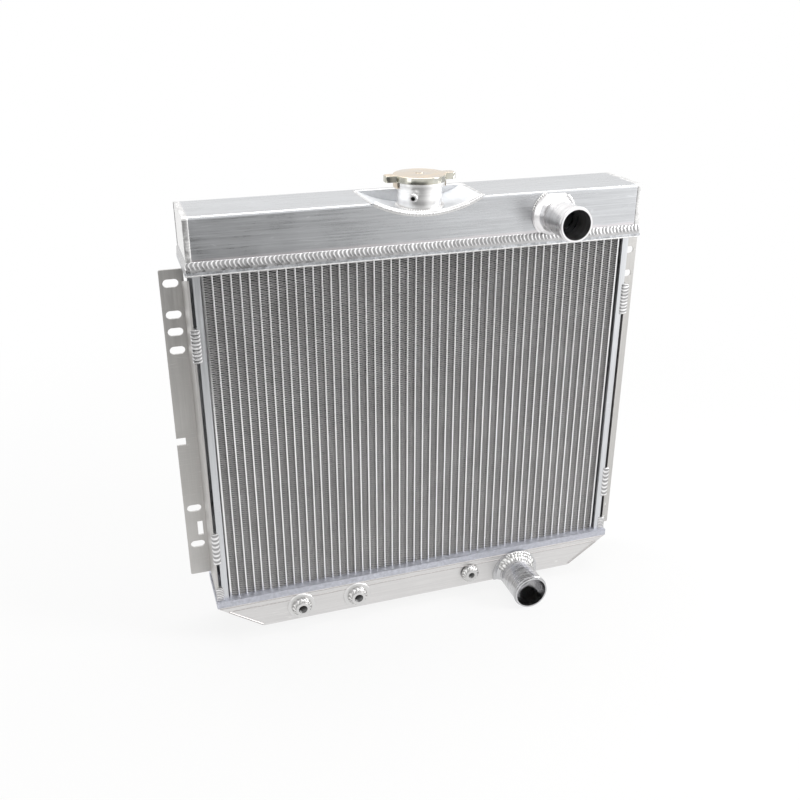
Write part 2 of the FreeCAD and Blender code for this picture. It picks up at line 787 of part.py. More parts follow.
def coil_levels(wire, turns, height):
    """How far each step of a coil has risen: a closed flat turn at each end, open turns between."""
    closing = wire + coil_gap
    active = turns * coil_steps
    rise = (height - wire - 2 * closing) / active
    levels = [0.0] * (coil_steps - 1) + [closing / 2]
    levels += [closing + rise * i for i in range(active + 1)]
    levels += [height - wire - closing / 2] + [height - wire] * (coil_steps - 1)
    return levels


def coil(radius, wire, turns, z0, z1):
    """A spring of square wire in straight steps, standing between two levels."""
    half = wire / 2
    rings = []
    for i, level in enumerate(coil_levels(wire, turns, z1 - z0)):
        angle = 2 * math.pi * i / coil_steps
        corners = []
        for dr, dz in ((-half, 0), (half, 0), (half, wire), (-half, wire)):
            r = radius + dr
            corners.append(Vector(r * math.cos(angle), filler_y + r * math.sin(angle), z0 + level + dz))
        rings.append(corners)
    faces = [Part.Face(Part.makePolygon(ring + ring[:1])) for ring in (rings[0], rings[-1])]
    for low, high in zip(rings, rings[1:]):
        for k in range(4):
            a, b = low[k], low[(k + 1) % 4]
            c, d = high[(k + 1) % 4], high[k]
            faces.append(Part.Face(Part.makePolygon([a, b, c, a])))
            faces.append(Part.Face(Part.makePolygon([a, c, d, a])))
    solid = Part.makeSolid(Part.makeShell(faces))
    if solid.Volume < 0:
        solid.reverse()
    return solid


def cap_pressure_spring():
    """The spring that holds the pressure valve shut."""
    return coil(pressure_spring_radius, pressure_spring_wire, pressure_spring_turns, plate_top, bell_ceiling)


def cap_vacuum_spring():
    """The light spring that holds the vacuum valve up."""
    return coil(vacuum_spring_radius, vacuum_spring_wire, vacuum_spring_turns, plate_top,
                vacuum_collar_bottom)


def main():
    os.makedirs("parts", exist_ok=True)
    save("upper_tank", [upper_tank()])
    save("upper_header", [upper_header()])
    save("upper_header_weld", [upper_header_weld()])
    save("lower_header", [lower_header()])
    save("lower_tank", [lower_tank()])
    save("tubes_front_row", tubes(0))
    save("tubes_rear_row", tubes(1))
    save("fin_strips", fin_strips())
    for side, sign in (("left", -1), ("right", 1)):
        save("upper_tank_" + side + "_end", [upper_tank_end(sign)])
        save("lower_tank_" + side + "_end", [lower_tank_end(sign)])
        save(side + "_side_plate", [side_plate(sign)])
        save(side + "_channel", [side_channel(sign)])
        save(side + "_bracket_welds", bracket_welds(sign))
    save("left_bracket", [left_bracket()])
    save("right_bracket", [right_bracket()])
    save("inlet_neck", [inlet_neck()])
    save("outlet_neck", [outlet_neck()])
    save("cooler_fittings", cooler_fittings())
    save("drain_boss", [drain_boss()])
    save("oil_cooler", [oil_cooler()])
    save("filler_saddle", [filler_saddle()])
    save("filler_neck", [filler_neck()])
    save("overflow_nipple", [overflow_nipple()])
    save("cap_cover", [cap_cover()])
    save("cap_rivet", [cap_rivet()])
    save("cap_diaphragm", [cap_diaphragm()])
    save("cap_bell", [cap_bell()])
    save("cap_pressure_plate", [cap_pressure_plate()])
    save("cap_pressure_seal", [cap_pressure_seal()])
    save("cap_pressure_spring", [cap_pressure_spring()])
    save("cap_vacuum_valve", [cap_vacuum_valve()])
    save("cap_vacuum_spring", [cap_vacuum_spring()])


main()
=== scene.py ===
import math
import random

import bmesh
import bpy
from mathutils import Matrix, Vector


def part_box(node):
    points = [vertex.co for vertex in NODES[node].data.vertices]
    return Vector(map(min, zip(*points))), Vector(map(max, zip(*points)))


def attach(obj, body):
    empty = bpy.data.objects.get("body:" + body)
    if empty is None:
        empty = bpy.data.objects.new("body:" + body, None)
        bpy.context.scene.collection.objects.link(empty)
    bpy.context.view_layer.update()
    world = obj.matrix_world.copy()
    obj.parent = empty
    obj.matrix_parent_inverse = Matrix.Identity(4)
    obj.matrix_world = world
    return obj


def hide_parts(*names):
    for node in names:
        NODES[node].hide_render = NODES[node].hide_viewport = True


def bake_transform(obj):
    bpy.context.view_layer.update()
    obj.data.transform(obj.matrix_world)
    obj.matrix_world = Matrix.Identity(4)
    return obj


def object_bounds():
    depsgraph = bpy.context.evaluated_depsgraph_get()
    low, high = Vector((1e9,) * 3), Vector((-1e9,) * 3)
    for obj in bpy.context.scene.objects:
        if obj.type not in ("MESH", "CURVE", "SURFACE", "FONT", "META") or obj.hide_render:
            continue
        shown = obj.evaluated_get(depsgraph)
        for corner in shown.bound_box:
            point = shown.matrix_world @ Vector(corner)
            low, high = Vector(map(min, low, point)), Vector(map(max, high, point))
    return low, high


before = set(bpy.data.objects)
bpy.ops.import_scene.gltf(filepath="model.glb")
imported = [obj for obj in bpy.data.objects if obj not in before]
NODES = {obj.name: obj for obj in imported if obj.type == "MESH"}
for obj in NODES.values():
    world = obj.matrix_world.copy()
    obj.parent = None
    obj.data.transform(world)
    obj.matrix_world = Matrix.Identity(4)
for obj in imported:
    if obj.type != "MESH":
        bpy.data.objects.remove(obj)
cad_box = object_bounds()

bl_info = {
    "name": "Car Radiator",
    "version": (1, 0, 0),
    "blender": (4, 5, 0),
    "location": "3D View > Sidebar > Radiator",
    "description": "Dresses a welded aluminium car radiator: fins, weld beads, pressure cap and finishes",
    "category": "Object",
}

MM = 0.001
FRONT = Vector((0, -1, 0))
RIGHT = Vector((1, 0, 0))
UP = Vector((0, 0, 1))
HALF_OVAL = (0.0, 180.0)


# ---------------------------------------------------------------- settings

class RadiatorCoreSettings(bpy.types.PropertyGroup):
    fold_pitch: bpy.props.FloatProperty(
        name="Fold pitch", description="Height of one full fold of a fin strip",
        default=2.8 * MM, unit="LENGTH", precision=5)
    fold_flat: bpy.props.FloatProperty(
        name="Fold flat", description="Height of the short flat at each fold, brazed to a tube",
        default=0.5 * MM, unit="LENGTH", precision=5)
    fold_wander: bpy.props.FloatProperty(
        name="Fold wander", description="How far a fold may stray up or down from an even spacing",
        default=0.14 * MM, unit="LENGTH", precision=5)
    strip_count: bpy.props.IntProperty(
        name="Fin strips", description="Fin strips side by side in the core", default=50, min=1)
    strip_width: bpy.props.FloatProperty(
        name="Strip width", description="Width of a fin strip between two tubes",
        default=8.0 * MM, unit="LENGTH", precision=5)
    fin_setback: bpy.props.FloatProperty(
        name="Fin setback", description="How far the fins' edges lie behind the tubes' noses",
        default=1.5 * MM, unit="LENGTH", precision=5)
    fin_thickness: bpy.props.FloatProperty(
        name="Fin thickness", description="Thickness of the fin sheet with its braze",
        default=0.24 * MM, unit="LENGTH", precision=5)
    fin_foot: bpy.props.FloatProperty(
        name="Fin foot", description="Height of the fins' lowest fold over the foot of the tubes",
        default=2.2 * MM, unit="LENGTH", precision=5)
    tube_count: bpy.props.IntProperty(
        name="Tubes", description="Tubes in a row", default=49, min=2)
    tube_thickness: bpy.props.FloatProperty(
        name="Tube thickness", description="Thickness of a flat tube, with round noses",
        default=2.0 * MM, unit="LENGTH", precision=5)


class RadiatorWeldSettings(bpy.types.PropertyGroup):
    header_pitch: bpy.props.FloatProperty(
        name="Header ripple pitch", description="Distance between ripples of the bead round the upper tank",
        default=4.7 * MM, unit="LENGTH", precision=5)
    seam_pitch: bpy.props.FloatProperty(
        name="Seam ripple pitch", description="Distance between ripples of the smaller beads",
        default=3.2 * MM, unit="LENGTH", precision=5)
    ripple_height: bpy.props.FloatProperty(
        name="Ripple height", description="Height of a ripple on the header bead",
        default=0.5 * MM, unit="LENGTH", precision=5)
    seed: bpy.props.IntProperty(
        name="Seed", description="Seed for the unevenness of the beads", default=11)


class RadiatorCapSettings(bpy.types.PropertyGroup):
    ear_half_width: bpy.props.FloatProperty(
        name="Ear half width", description="Half of the width of a grip ear",
        default=6.6 * MM, unit="LENGTH", precision=5)
    sheet: bpy.props.FloatProperty(
        name="Sheet", description="Thickness of the pressed cover",
        default=1.1 * MM, unit="LENGTH", precision=5)
    crown: bpy.props.FloatProperty(
        name="Crown", description="How much the cover falls from its middle to its rim",
        default=0.8 * MM, unit="LENGTH", precision=5)


class RadiatorFinishSettings(bpy.types.PropertyGroup):
    tank_colour: bpy.props.FloatVectorProperty(
        name="Tank sheet", description="Colour of the brushed tank sheet",
        subtype="COLOR", size=3, min=0.0, max=1.0, default=(0.575, 0.585, 0.60))
    bracket_colour: bpy.props.FloatVectorProperty(
        name="Bracket sheet", description="Colour of the mill-finish brackets and channels",
        subtype="COLOR", size=3, min=0.0, max=1.0, default=(0.56, 0.55, 0.535))
    fin_colour: bpy.props.FloatVectorProperty(
        name="Fins", description="Colour of the brazed fins",
        subtype="COLOR", size=3, min=0.0, max=1.0, default=(0.82, 0.805, 0.805))
    cap_colour: bpy.props.FloatVectorProperty(
        name="Cap plating", description="Colour of the cap's yellow zinc plating",
        subtype="COLOR", size=3, min=0.0, max=1.0, default=(0.68, 0.62, 0.54))


# ---------------------------------------------------------------- node graphs

class Graph:
    """A short way to place and join the nodes of a material, a group or the world."""

    def __init__(self, tree):
        self.tree = tree
        self.column = 0

    def add(self, kind, **values):
        node = self.tree.nodes.new(kind)
        node.location = (self.column, 0)
        self.column += 190
        for key, value in values.items():
            setattr(node, key, value)
        return node

    def join(self, start, end):
        self.tree.links.new(start, end)

    def set(self, node, **inputs):
        """Sets or links inputs by name, with _ for a space."""
        for key, value in inputs.items():
            socket = node.inputs[key.replace("_", " ")]
            if isinstance(value, bpy.types.NodeSocket):
                self.join(value, socket)
            else:
                socket.default_value = value
        return node

    def math(self, operation, a, b=None):
        node = self.add("ShaderNodeMath", operation=operation)
        for socket, value in zip(node.inputs, (a, b)):
            if isinstance(value, bpy.types.NodeSocket):
                self.join(value, socket)
            elif value is not None:
                socket.default_value = value
        return node.outputs[0]

    def ramp(self, value, low, high, to_low=0.0, to_high=1.0):
        node = self.add("ShaderNodeMapRange", interpolation_type="SMOOTHSTEP")
        self.set(node, Value=value, From_Min=low, From_Max=high, To_Min=to_low, To_Max=to_high)
        return node.outputs[0]

    def blend(self, factor, a, b):
        """A colour between a and b."""
        node = self.add("ShaderNodeMix", data_type="RGBA")
        for index, value in ((0, factor), (6, a), (7, b)):
            socket = node.inputs[index]
            if isinstance(value, bpy.types.NodeSocket):
                self.join(value, socket)
            else:
                socket.default_value = tuple(value) + (1.0,) if index else value
        return node.outputs[2]

    def tinted(self, a, b):
        """One colour multiplied by another."""
        node = self.add("ShaderNodeMix", data_type="RGBA", blend_type="MULTIPLY")
        node.inputs[0].default_value = 1.0
        self.join(a, node.inputs[6])
        self.join(b, node.inputs[7])
        return node.outputs[2]

    def place(self, group, **inputs):
        node = self.add("ShaderNodeGroup")
        node.node_tree = group
        return self.set(node, **inputs)


def new_group(name, inputs, outputs):
    """An empty node group with named inputs and outputs; gives the graph and its two ends."""
    tree = bpy.data.node_groups.new(name, "ShaderNodeTree")
    for label, kind, default in inputs:
        socket = tree.interface.new_socket(name=label, in_out="INPUT", socket_type=kind)
        socket.default_value = default
    for label, kind in outputs:
        tree.interface.new_socket(name=label, in_out="OUTPUT", socket_type=kind)
    graph = Graph(tree)
    start = graph.add("NodeGroupInput")
    end = tree.nodes.new("NodeGroupOutput")
    end.location = (2600, 0)
    return graph, start, end


def metal_grain_group():
    """Fine lines left by brushing or rolling, drawn out along the direction with the small stretch."""
    graph, start, end = new_group(
        "Metal Grain",
        [("Stretch", "NodeSocketVector", (60.0, 1500.0, 1500.0))],
        [("Streaks", "NodeSocketFloat"), ("Height", "NodeSocketFloat")])
    coords = graph.add("ShaderNodeTexCoord").outputs["Object"]
    scaled = graph.add("ShaderNodeVectorMath", operation="MULTIPLY")
    graph.join(coords, scaled.inputs[0])
    graph.join(start.outputs["Stretch"], scaled.inputs[1])
    broad = graph.set(graph.add("ShaderNodeTexNoise"), Vector=scaled.outputs[0], Scale=0.35, Detail=4.0,
                      Roughness=0.65)
    fine = graph.set(graph.add("ShaderNodeTexNoise"), Vector=scaled.outputs[0], Scale=1.6, Detail=3.0,
                     Roughness=0.7)
    streaks = graph.math("ADD", graph.math("MULTIPLY", broad.outputs["Fac"], 0.6),
                         graph.math("MULTIPLY", fine.outputs["Fac"], 0.4))
    graph.join(graph.ramp(streaks, 0.36, 0.64), end.inputs["Streaks"])
    graph.join(fine.outputs["Fac"], end.inputs["Height"])
    return graph.tree


def handling_marks_group():
    """Cloudy smears and a few fine scratches from handling."""
    graph, start, end = new_group(
        "Handling Marks",
        [("Scale", "NodeSocketFloat", 14.0), ("Scratches", "NodeSocketFloat", 0.5)],
        [("Smears", "NodeSocketFloat"), ("Scratches", "NodeSocketFloat")])
    coords = graph.add("ShaderNodeTexCoord").outputs["Object"]
    cloud = graph.set(graph.add("ShaderNodeTexNoise"), Vector=coords, Scale=start.outputs["Scale"],
                      Detail=5.0, Roughness=0.55, Distortion=0.6)
    graph.join(graph.ramp(cloud.outputs["Fac"], 0.35, 0.68), end.inputs["Smears"])
    turned = graph.set(graph.add("ShaderNodeMapping"), Vector=coords, Rotation=(0.4, 0.7, 0.3),
                       Scale=(14.0, 420.0, 420.0))
    lines = graph.set(graph.add("ShaderNodeTexVoronoi", feature="DISTANCE_TO_EDGE"),
                      Vector=turned.outputs[0], Scale=1.0)
    thin = graph.ramp(lines.outputs["Distance"], 0.0, 0.03, 1.0, 0.0)
    patchy = graph.ramp(cloud.outputs["Fac"], 0.52, 0.62)
    marks = graph.math("MULTIPLY", graph.math("MULTIPLY", thin, patchy), start.outputs["Scratches"])
    graph.join(marks, end.inputs["Scratches"])
    return graph.tree


def heat_tint_group():
    """The pale, faintly warm bloom that metal takes beside a weld, from a distance in metres."""
    graph, start, end = new_group(
        "Heat Tint",
        [("Colour", "NodeSocketColor", (0.6, 0.6, 0.6, 1.0)), ("Distance", "NodeSocketFloat", 0.01),
         ("Reach", "NodeSocketFloat", 0.012), ("Amount", "NodeSocketFloat", 0.5)],
        [("Colour", "NodeSocketColor")])
    coords = graph.add("ShaderNodeTexCoord").outputs["Object"]
    uneven = graph.set(graph.add("ShaderNodeTexNoise"), Vector=coords, Scale=45.0, Detail=4.0)
    share = graph.math("DIVIDE", graph.math("ABSOLUTE", start.outputs["Distance"]), start.outputs["Reach"])
    share = graph.math("ADD", share, graph.math("MULTIPLY", uneven.outputs["Fac"], 0.5))
    near = graph.ramp(share, 0.35, 1.15, 1.0, 0.0)
    close = graph.ramp(share, 0.55, 0.85, 1.0, 0.0)
    white = (1.0, 1.0, 1.0)
    pale = graph.blend(graph.math("MULTIPLY", near, start.outputs["Amount"]), white, (1.16, 1.15, 1.17))
    warm = graph.blend(graph.math("MULTIPLY", close, start.outputs["Amount"]), white, (1.06, 1.0, 0.98))
    graph.join(graph.tinted(start.outputs["Colour"], graph.tinted(pale, warm)), end.inputs["Colour"])
    return graph.tree


def turned_rings_group():
    """Fine rings left by a lathe, even along one coordinate."""
    graph, start, end = new_group(
        "Turned Rings",
        [("Along", "NodeSocketFloat", 0.0), ("Pitch", "NodeSocketFloat", 0.0008)],
        [("Height", "NodeSocketFloat"), ("Bands", "NodeSocketFloat")])
    turns = graph.math("DIVIDE", start.outputs["Along"], start.outputs["Pitch"])
    wave = graph.math("SINE", graph.math("MULTIPLY", turns, 2 * math.pi))
    height = graph.ramp(wave, -1.0, 1.0)
    graph.join(height, end.inputs["Height"])
    band = graph.add("ShaderNodeTexNoise", noise_dimensions="1D")
    graph.set(band, W=turns, Scale=0.23, Detail=3.0)
    graph.join(graph.ramp(band.outputs["Fac"], 0.35, 0.65), end.inputs["Bands"])
    return graph.tree


def weld_skin_group():
    """The frosty, finely pitted skin of a weld bead."""
    graph, start, end = new_group(
        "Weld Skin",
        [("Scale", "NodeSocketFloat", 900.0)],
        [("Height", "NodeSocketFloat"), ("Frost", "NodeSocketFloat")])
    coords = graph.add("ShaderNodeTexCoord").outputs["Object"]
    pits = graph.set(graph.add("ShaderNodeTexNoise"), Vector=coords, Scale=start.outputs["Scale"],
                     Detail=5.0, Roughness=0.6)
    frost = graph.set(graph.add("ShaderNodeTexNoise"), Vector=coords, Scale=160.0, Detail=4.0)
    graph.join(pits.outputs["Fac"], end.inputs["Height"])
    graph.join(graph.ramp(frost.outputs["Fac"], 0.38, 0.62), end.inputs["Frost"])
    return graph.tree


GROUPS = {}


def build_groups():
    """Makes the shared effects once."""
    GROUPS["grain"] = metal_grain_group()
    GROUPS["marks"] = handling_marks_group()
    GROUPS["heat"] = heat_tint_group()
    GROUPS["rings"] = turned_rings_group()
    GROUPS["weld"] = weld_skin_group()


# ---------------------------------------------------------------- materials

def new_material(name):
    """A material with a Principled BSDF; gives the material, its graph and its shader."""
    material = bpy.data.materials.new(name)
    material.use_nodes = True
    graph = Graph(material.node_tree)
    shader = material.node_tree.nodes["Principled BSDF"]
    shader.location = (3200, 0)
    material.node_tree.nodes["Material Output"].location = (3500, 0)
    return material, graph, shader


def scaled(colour, factor):
    """A colour made darker or lighter."""
    return tuple(min(1.0, channel * factor) for channel in colour)


def place_axis(graph, axis):
    """The X, Y or Z coordinate of the surface, in metres."""
    coords = graph.add("ShaderNodeTexCoord").outputs["Object"]
    split = graph.add("ShaderNodeSeparateXYZ")
    graph.join(coords, split.inputs[0])
    return split.outputs[axis]


def bump(graph, height, strength, distance):
    """A Bump node over a height."""
    node = graph.add("ShaderNodeBump")
    graph.set(node, Height=height, Strength=strength, Distance=distance)
    return node.outputs["Normal"]


def sheet_metal(name, colour, stretch, smooth=0.28, rough=0.46, contrast=0.12, grain_bump=0.25, heat=(),
                smear_scale=14.0):
    """Brushed or rolled aluminium sheet. heat lists (axis, place, reach, amount) of the welds along it."""
    material, graph, shader = new_material(name)
    grain = graph.place(GROUPS["grain"], Stretch=stretch)
    marks = graph.place(GROUPS["marks"], Scale=smear_scale, Scratches=0.6)
    base = graph.blend(grain.outputs["Streaks"], scaled(colour, 1 - contrast), scaled(colour, 1 + contrast))
    base = graph.blend(graph.math("MULTIPLY", marks.outputs["Smears"], 0.35), base, scaled(colour, 0.88))
    for axis, place, reach, amount in heat:
        distance = graph.math("SUBTRACT", graph.math("ABSOLUTE", place_axis(graph, axis)), place)
        tint = graph.place(GROUPS["heat"], Colour=base, Distance=distance, Reach=reach, Amount=amount)
        base = tint.outputs["Colour"]
    base = graph.blend(marks.outputs["Scratches"], base, scaled(colour, 1.25))
    graph.join(base, shader.inputs["Base Color"])
    shade = graph.math("ADD", graph.math("MULTIPLY", grain.outputs["Streaks"], 0.5),
                       graph.math("MULTIPLY", marks.outputs["Smears"], 0.5))
    graph.join(graph.ramp(shade, 0.0, 1.0, smooth, rough), shader.inputs["Roughness"])
    shader.inputs["Metallic"].default_value = 1.0
    graph.join(bump(graph, grain.outputs["Height"], grain_bump, 0.00004), shader.inputs["Normal"])
    return material


def weld_metal(name, colour, roughness=(0.18, 0.38), soot_and_shade_in_hollows=0.6):
    """A weld bead whose frosty hollows are darkened by its mesh's ripple attribute, partly as weld soot and
    partly as painted shade, so its ripple crowns stand out light against them.
    """
    material, graph, shader = new_material(name)
    skin = graph.place(GROUPS["weld"], Scale=1400.0)
    ripple = graph.add("ShaderNodeAttribute", attribute_name="ripple").outputs["Fac"]
    base = graph.blend(skin.outputs["Frost"], scaled(colour, 0.9), scaled(colour, 1.1))
    # Partly soot and partly painted shade: the hollows between the ripples are darkened by the ripple
    # attribute.
    base = graph.blend(graph.ramp(ripple, 0.05, 0.7), scaled(colour, soot_and_shade_in_hollows), base)
    graph.join(base, shader.inputs["Base Color"])
    graph.join(graph.ramp(skin.outputs["Frost"], 0.0, 1.0, roughness[0], roughness[1]),
               shader.inputs["Roughness"])
    shader.inputs["Metallic"].default_value = 1.0
    graph.join(bump(graph, skin.outputs["Height"], 0.35, 0.0001), shader.inputs["Normal"])
    return material


def turned_metal(name, colour, axis, pitch, roughness=(0.2, 0.36), depth=0.5):
    """A turned part with lathe rings along an axis."""
    material, graph, shader = new_material(name)
    rings = graph.place(GROUPS["rings"], Along=place_axis(graph, axis), Pitch=pitch)
    marks = graph.place(GROUPS["marks"], Scale=40.0, Scratches=0.3)
    base = graph.blend(rings.outputs["Bands"], scaled(colour, 0.86), scaled(colour, 1.1))
    graph.join(base, shader.inputs["Base Color"])
    shade = graph.math("ADD", graph.math("MULTIPLY", rings.outputs["Bands"], 0.6),
                       graph.math("MULTIPLY", marks.outputs["Smears"], 0.4))
    graph.join(graph.ramp(shade, 0.0, 1.0, roughness[0], roughness[1]), shader.inputs["Roughness"])
    shader.inputs["Metallic"].default_value = 1.0
    graph.join(bump(graph, rings.outputs["Height"], depth, 0.00008), shader.inputs["Normal"])
    return material


def fin_metal(name, colour, edge, painted_shade_deep):
    """Brazed fins with rows of louvres across each fold, with painted shade that darkens them from near
    their edges inwards.

    edge is how far their edges lie from the middle of the core, and painted_shade_deep is where the painted
    shade is darkest."""
    material, graph, shader = new_material(name)
    along = place_axis(graph, "Y")
    louvres = graph.place(GROUPS["rings"], Along=along, Pitch=0.0012)
    marks = graph.place(GROUPS["marks"], Scale=30.0, Scratches=0.0)
    base = graph.blend(marks.outputs["Smears"], scaled(colour, 0.94), scaled(colour, 1.06))
    base = graph.blend(graph.math("MULTIPLY", louvres.outputs["Height"], 0.15), base, scaled(colour, 0.6))
    painted_shade_fade = graph.ramp(graph.math("ABSOLUTE", along), painted_shade_deep, edge)
    # Painted shade: the fins darken towards the middle of the core, for the shade between their folds.
    base = graph.blend(painted_shade_fade, scaled(colour, 0.13), base)
    graph.join(base, shader.inputs["Base Color"])
    graph.join(graph.ramp(marks.outputs["Smears"], 0.0, 1.0, 0.42, 0.6), shader.inputs["Roughness"])
    shader.inputs["Metallic"].default_value = 0.2
    graph.join(bump(graph, louvres.outputs["Height"], 0.4, 0.0002), shader.inputs["Normal"])
    return material


def plated_steel(name, colour, second, roughness=(0.16, 0.34)):
    """Yellow zinc plating that shifts between two hues."""
    material, graph, shader = new_material(name)
    marks = graph.place(GROUPS["marks"], Scale=38.0, Scratches=0.7)
    grain = graph.place(GROUPS["grain"], Stretch=(900.0, 900.0, 900.0))
    base = graph.blend(marks.outputs["Smears"], colour, second)
    base = graph.blend(graph.math("MULTIPLY", grain.outputs["Streaks"], 0.2), base, scaled(colour, 0.7))
    graph.join(base, shader.inputs["Base Color"])
    graph.join(graph.ramp(marks.outputs["Smears"], 0.0, 1.0, roughness[0], roughness[1]),
               shader.inputs["Roughness"])
    shader.inputs["Metallic"].default_value = 1.0
    graph.join(bump(graph, grain.outputs["Height"], 0.12, 0.00005), shader.inputs["Normal"])
    return material


def moulded_rubber(name):
    """Black rubber with a light bloom."""
    material, graph, shader = new_material(name)
    marks = graph.place(GROUPS["marks"], Scale=60.0, Scratches=0.2)
    base = graph.blend(marks.outputs["Smears"], (0.018, 0.018, 0.019), (0.045, 0.044, 0.042))
    graph.join(base, shader.inputs["Base Color"])
    graph.join(graph.ramp(marks.outputs["Smears"], 0.0, 1.0, 0.55, 0.75), shader.inputs["Roughness"])
    skin = graph.place(GROUPS["weld"], Scale=2600.0)
    graph.join(bump(graph, skin.outputs["Height"], 0.2, 0.0001), shader.inputs["Normal"])
    return material


MATERIALS = {}


def finish(material, *nodes):
    """Gives carried-over nodes their finish."""
    for node in nodes:
        NODES[node].data.materials.clear()
        NODES[node].data.materials.append(MATERIALS[material])


def add_piece(name, mesh, material, body="radiator"):
    """Turns a mesh into a piece that rides on a body, or on none yet."""
    piece = bpy.data.objects.new(name, mesh)
    bpy.context.scene.collection.objects.link(piece)
    mesh.materials.append(MATERIALS[material])
    if body:
        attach(piece, body)
    return piece


# ---------------------------------------------------------------- mesh helpers

def mesh_from(bm, name, smooth=True):
    """Ends a bmesh as a mesh."""
    bmesh.ops.recalc_face_normals(bm, faces=bm.faces)
    mesh = bpy.data.meshes.new(name)
    bm.to_mesh(mesh)
    bm.free()
    for polygon in mesh.polygons:
        polygon.use_smooth = smooth
    return mesh


def grid_faces(bm, rows, closed_rows=False, closed_columns=False):
    """Joins rows of vertices into a sheet of quads."""
    count = len(rows)
    width = len(rows[0])
    for i in range(count if closed_rows else count - 1):
        for j in range(width if closed_columns else width - 1):
            a, b = rows[i][j], rows[i][(j + 1) % width]
            c, d = rows[(i + 1) % count][(j + 1) % width], rows[(i + 1) % count][j]
            bm.faces.new((a, b, c, d))


def resample(path, step, closed):
    """Even stations along a path of (point, side, rise), spaced along the bead's crown."""
    stations = list(path)
    if closed:
        stations.append(path[0])
    crowns = [p + a * 0.7 + b * 0.7 for p, a, b in stations]
    lengths = [0.0]
    for first, second in zip(crowns, crowns[1:]):
        lengths.append(lengths[-1] + (second - first).length)
    total = lengths[-1]
    count = max(4, round(total / step))
    result = []
    index = 0
    for k in range(count if closed else count + 1):
        target = total * k / count
        while index < len(lengths) - 2 and lengths[index + 1] < target:
            index += 1
        span = lengths[index + 1] - lengths[index]
        share = (target - lengths[index]) / span if span > 0 else 0.0
        result.append(tuple(u.lerp(v, share) for u, v in zip(stations[index], stations[index + 1])))
    return result, total


def weld_bead(name, path, pitch, ripple, arc=(0.0, 90.0), closed=False, lead=0.6, across=9, seed=0,
              per_ripple=8, wander=0.05, sharp=1.6, band=1.0):
    """A rippled bead swept along (point, side, rise) stations; arc is the part of its oval that shows.

    Each ripple is a crescent that trails back by lead, in shares of a ripple, at the bead's edges. sharp
    thins its crest, and band is the share of the bead's width that it covers."""
    stations, total = resample(path, pitch / per_ripple, closed)
    ripples = max(1, round(total / pitch))
    rng = random.Random(seed)
    heights = [rng.uniform(0.78, 1.15) for _ in range(ripples + 4)]
    shifts = [rng.uniform(-wander, wander) for _ in range(ripples + 4)]
    bm = bmesh.new()
    shade = bm.verts.layers.float.new("ripple")
    rows = []
    for k, (point, side, rise) in enumerate(stations):
        row = []
        for j in range(across + 1):
            share = j / across
            angle = math.radians(arc[0] + (arc[1] - arc[0]) * share)
            out = side * math.cos(angle) + rise * math.sin(angle)
            t = 2 * share - 1
            phase = k * ripples / len(stations) - lead * t * t + 2
            if closed:
                phase = phase % ripples
            number = int(phase)
            part = phase - number + shifts[number]
            crest = (0.5 + 0.5 * math.cos(2 * math.pi * part)) ** sharp
            edge = max(0.0, 1 - abs(t / band) ** 4)
            lift = ripple * (crest - 0.3) * heights[number] * edge
            vertex = bm.verts.new(point + out + out.normalized() * lift)
            # The ripple value falls from the crests to the hollows. The weld materials darken the hollows
            # by it, partly as soot and partly as painted shade.
            vertex[shade] = 0.3 + (crest * heights[number] - 0.3) * edge
            row.append(vertex)
        rows.append(row)
    grid_faces(bm, rows, closed_rows=closed)
    if not closed:
        for row in (rows[0], rows[-1]):
            bm.faces.new(row)
    return mesh_from(bm, name)


def end_ring(node, axis, end):
    """The centre and the outer radius of a round node's ring of corners at one end of an axis."""
    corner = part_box(node)[end][axis]
    points = [NODES[node].matrix_world @ v.co for v in NODES[node].data.vertices]
    points = [p for p in points if abs(p[axis] - corner) < 0.02 * MM]
    lows = [min(p[i] for p in points) for i in range(3)]
    highs = [max(p[i] for p in points) for i in range(3)]
    centre = (Vector(lows) + Vector(highs)) / 2
    return centre, max((p - centre).length for p in points)


def ring_path(centre, normal, radius, reach, rise, start=0.0, end=360.0, steps=48, zero=None):
    """Stations round a circle: the bead lies outside the radius and rises along the normal."""
    u = (zero or normal.orthogonal()).normalized()
    v = normal.cross(u)
    path = []
    for i in range(steps if end - start >= 360 else steps + 1):
        angle = math.radians(start + (end - start) * i / steps)
        out = u * math.cos(angle) + v * math.sin(angle)
        path.append((centre + out * radius, out * reach, normal * rise))
    return path


def line_path(points, side, rise):
    """Stations along straight runs with one side and rise."""
    return [(Vector(p), Vector(side), Vector(rise)) for p in points]


def lathe(name, profile, origin, axis, steps=96, smooth_angle=35.0):
    """Turns (radius, height) points about an axis through origin."""
    axis = Vector(axis).normalized()
    u = axis.orthogonal().normalized()
    v = axis.cross(u)
    bm = bmesh.new()
    rows = []
    for r, h in profile:
        row = []
        for i in range(steps):
            angle = 2 * math.pi * i / steps
            out = u * math.cos(angle) + v * math.sin(angle)
            row.append(bm.verts.new(Vector(origin) + axis * h + out * r))
        rows.append(row)
    grid_faces(bm, rows, closed_columns=True)
    bmesh.ops.remove_doubles(bm, verts=bm.verts, dist=1e-7)
    mesh = mesh_from(bm, name)
    mesh.set_sharp_from_angle(angle=math.radians(smooth_angle))
    return mesh


# ---------------------------------------------------------------- core

